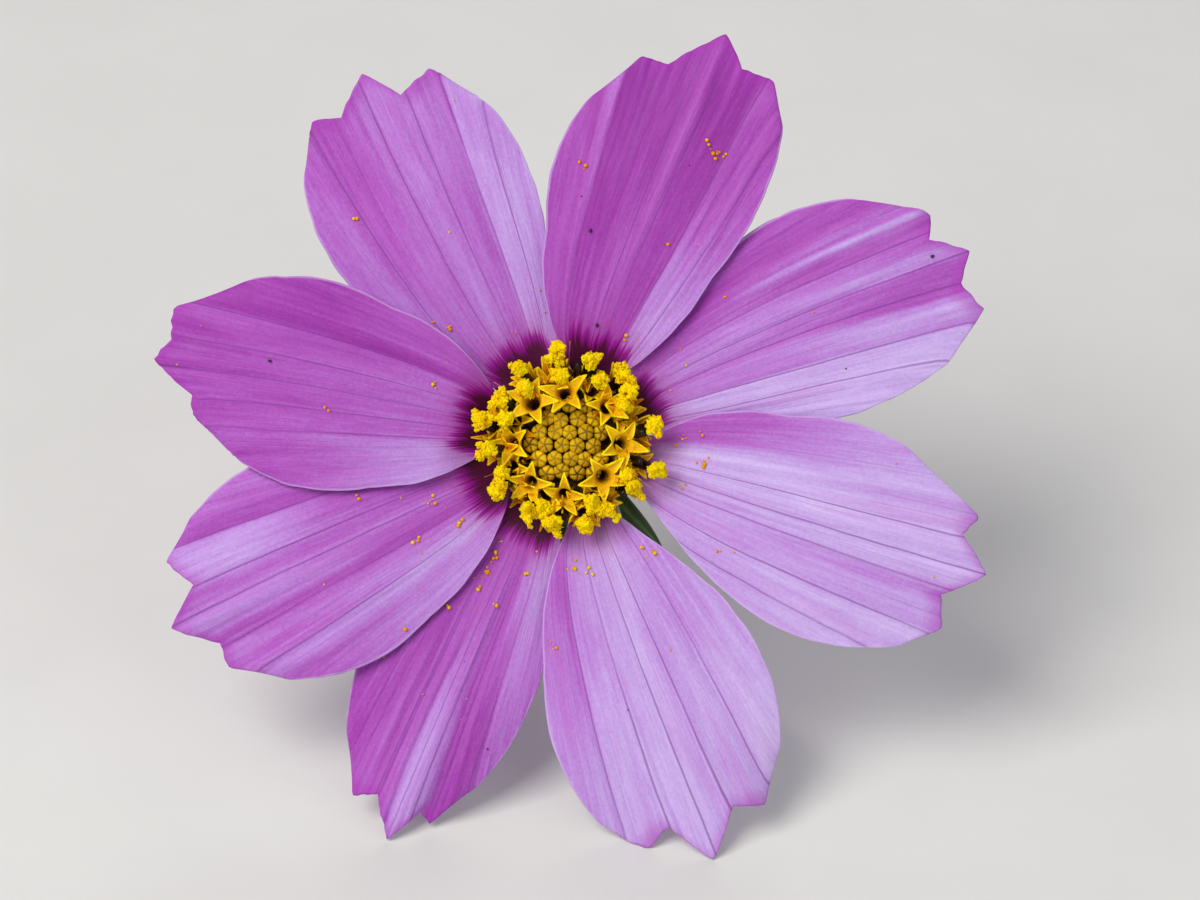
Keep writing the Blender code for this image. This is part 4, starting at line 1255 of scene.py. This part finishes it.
# Clusters of fallen pollen, as (petal, place across, place along, grains, spread)
CLUSTERS = (
    (1, 0.74, 0.62, 4, 0.012), (1, -0.42, 0.745, 10, 0.022), (1, -0.35, 0.44, 1, 0.01),
    (1, -0.4, 0.16, 3, 0.02), (2, 0.64, 0.39, 2, 0.01), (2, 0.2, 0.22, 1, 0.01),
    (3, 0.27, 0.2, 5, 0.02), (3, -0.15, 0.18, 3, 0.015), (3, -0.73, 0.33, 2, 0.01),
    (3, 0.7, 0.14, 6, 0.04), (4, -0.9, 0.37, 3, 0.012), (4, -0.35, 0.2, 3, 0.015),
    (4, -0.55, 0.16, 3, 0.02), (4, 0.75, 0.2, 5, 0.03), (5, 0.07, 0.31, 3, 0.012),
    (5, -0.25, 0.31, 3, 0.01), (5, -0.25, 0.26, 8, 0.02), (5, -0.27, 0.21, 4, 0.015),
    (5, -0.45, 0.41, 2, 0.01), (5, 0.33, 0.21, 2, 0.01), (6, 0.27, 0.33, 3, 0.01),
    (6, -0.37, 0.45, 4, 0.012), (6, -0.05, 0.23, 4, 0.02), (6, 0.4, 0.2, 3, 0.012),
    (6, 0.93, 0.5, 2, 0.01), (7, 0.22, 0.51, 2, 0.01), (7, -0.37, 0.23, 3, 0.012),
    (8, 0.55, 0.28, 4, 0.012), (8, 0.67, 0.32, 2, 0.01), (8, 0.65, 0.7, 2, 0.01),
    (8, 0.0, 0.5, 1, 0.01),
)
# Dark specks, as (petal, place across, place along, radius)
SPECKS = ((1, 0.53, 0.44, 0.16), (1, 0.2, 0.165, 0.15), (1, 0.68, 0.53, 0.07), (1, -0.2, 0.65, 0.06),
          (2, 0.08, 0.93, 0.15), (2, -0.56, 0.6, 0.07), (7, -0.14, 0.7, 0.14), (5, 0.75, 0.73, 0.08),
          (5, 0.0, 0.49, 0.06), (4, -0.3, 0.6, 0.06))

shape, shade_layer = shaded_shape()
rng = random.Random(11)


def drop_grain(number, across, along, size, shade):
    """Lay a grain on a petal."""
    spot = Vector(petal_place(number, across, along))
    spot.z += 0.5 * PETAL_THICK + 0.6 * size
    add_grain(shape, shade_layer, on_head(spot), size, shade)


for number, across, along, count, spread in CLUSTERS:
    for _ in range(count):
        aside, ahead = rng.gauss(0.0, 2.0 * spread), rng.gauss(0.0, 0.6 * spread)
        drop_grain(number, across + aside, along + ahead, rng.uniform(0.08, 0.2), rng.uniform(-0.3, 0.4))
for _ in range(DUST_COUNT):
    number = rng.choice((1, 2, 3, 4, 5, 5, 6, 6, 7, 8))
    across, along = rng.uniform(-0.8, 0.8), min(0.95, 0.14 + 0.8 * rng.random() ** 1.5)
    drop_grain(number, across, along, rng.uniform(0.05, 0.1), rng.uniform(-0.3, 0.5))
add_piece("fallen_pollen", shape, [pollen_finish])

speck_skin = new_material("speck_skin", Base_Color=colour(0.02, 0.008, 0.02), Roughness=0.6)[0]
shape, shade_layer = shaded_shape()
for number, across, along, size in SPECKS:
    drop_grain(number, across, along, size, 0.0)
    drop_grain(number, across, along + 0.7 * size / 30.0, 0.8 * size, 0.0)
add_piece("dark_specks", shape, [speck_skin])


# ---- Table, light and camera ----
# A plain pale table under soft daylight from the upper left. The camera looks square down on the face.
FLOOR_SIZE = 3.0
CAMERA_AIM = (2.76, -0.69)
CAMERA_AWAY = 290.0
FRAME_WIDTH = 103.3
SENSOR_WIDTH = 36.0
SKY_STRENGTH = 0.30

floor_finish, floor_tree, floor_shader = new_material("table_top", Roughness=0.65)
floor_grain = grain(floor_tree, own_place(floor_tree), 60.0, 4.0)
floor_tint = mixed(floor_tree, floor_grain, colour(0.66, 0.65, 0.63), colour(0.72, 0.71, 0.69))
floor_tree.links.new(floor_tint, floor_shader.inputs["Base Color"])
shape = bmesh.new()
bmesh.ops.create_grid(shape, x_segments=1, y_segments=1, size=FLOOR_SIZE)
mesh = bpy.data.meshes.new("table_top")
shape.to_mesh(mesh)
shape.free()
mesh.materials.append(floor_finish)
floor = bpy.data.objects.new("table_top", mesh)
bpy.context.scene.collection.objects.link(floor)


def add_lamp(name, place, energy, size, tint):
    """A soft square lamp that shines on the flower's head."""
    lamp = bpy.data.lights.new(name, "AREA")
    lamp.energy, lamp.size, lamp.color = energy, size, tint
    holder = bpy.data.objects.new(name, lamp)
    holder.location = place
    aim = (head.translation - holder.location).normalized()
    holder.rotation_euler = aim.to_track_quat("-Z", "Y").to_euler()
    bpy.context.scene.collection.objects.link(holder)


add_lamp("key_light", Vector((-0.32, -0.30, 0.55)), 4.0, 0.40, (1.0, 0.98, 0.95))
add_lamp("fill_light", Vector((0.50, -0.45, 0.30)), 1.0, 0.50, (0.92, 0.95, 1.0))
add_lamp("back_light", Vector((0.10, 0.55, 0.45)), 1.2, 0.45, (1.0, 0.99, 0.96))

world = bpy.data.worlds.new("daylight")
world.use_nodes = True
sky = world.node_tree.nodes["Background"].inputs
sky["Color"].default_value = colour(0.90, 0.93, 1.0)
sky["Strength"].default_value = SKY_STRENGTH
bpy.context.scene.world = world

lens = bpy.data.cameras.new("face_on")
lens.sensor_width = SENSOR_WIDTH
lens.lens = SENSOR_WIDTH * CAMERA_AWAY / FRAME_WIDTH
lens.clip_start = 0.01
camera = bpy.data.objects.new("face_on", lens)
camera.matrix_world = head @ Matrix.Translation(Vector((*CAMERA_AIM, CAMERA_AWAY)) * MM)
bpy.context.scene.collection.objects.link(camera)
bpy.context.scene.camera = camera
bpy.context.scene.view_settings.view_transform = "Standard"

bpy.context.view_layer.update()
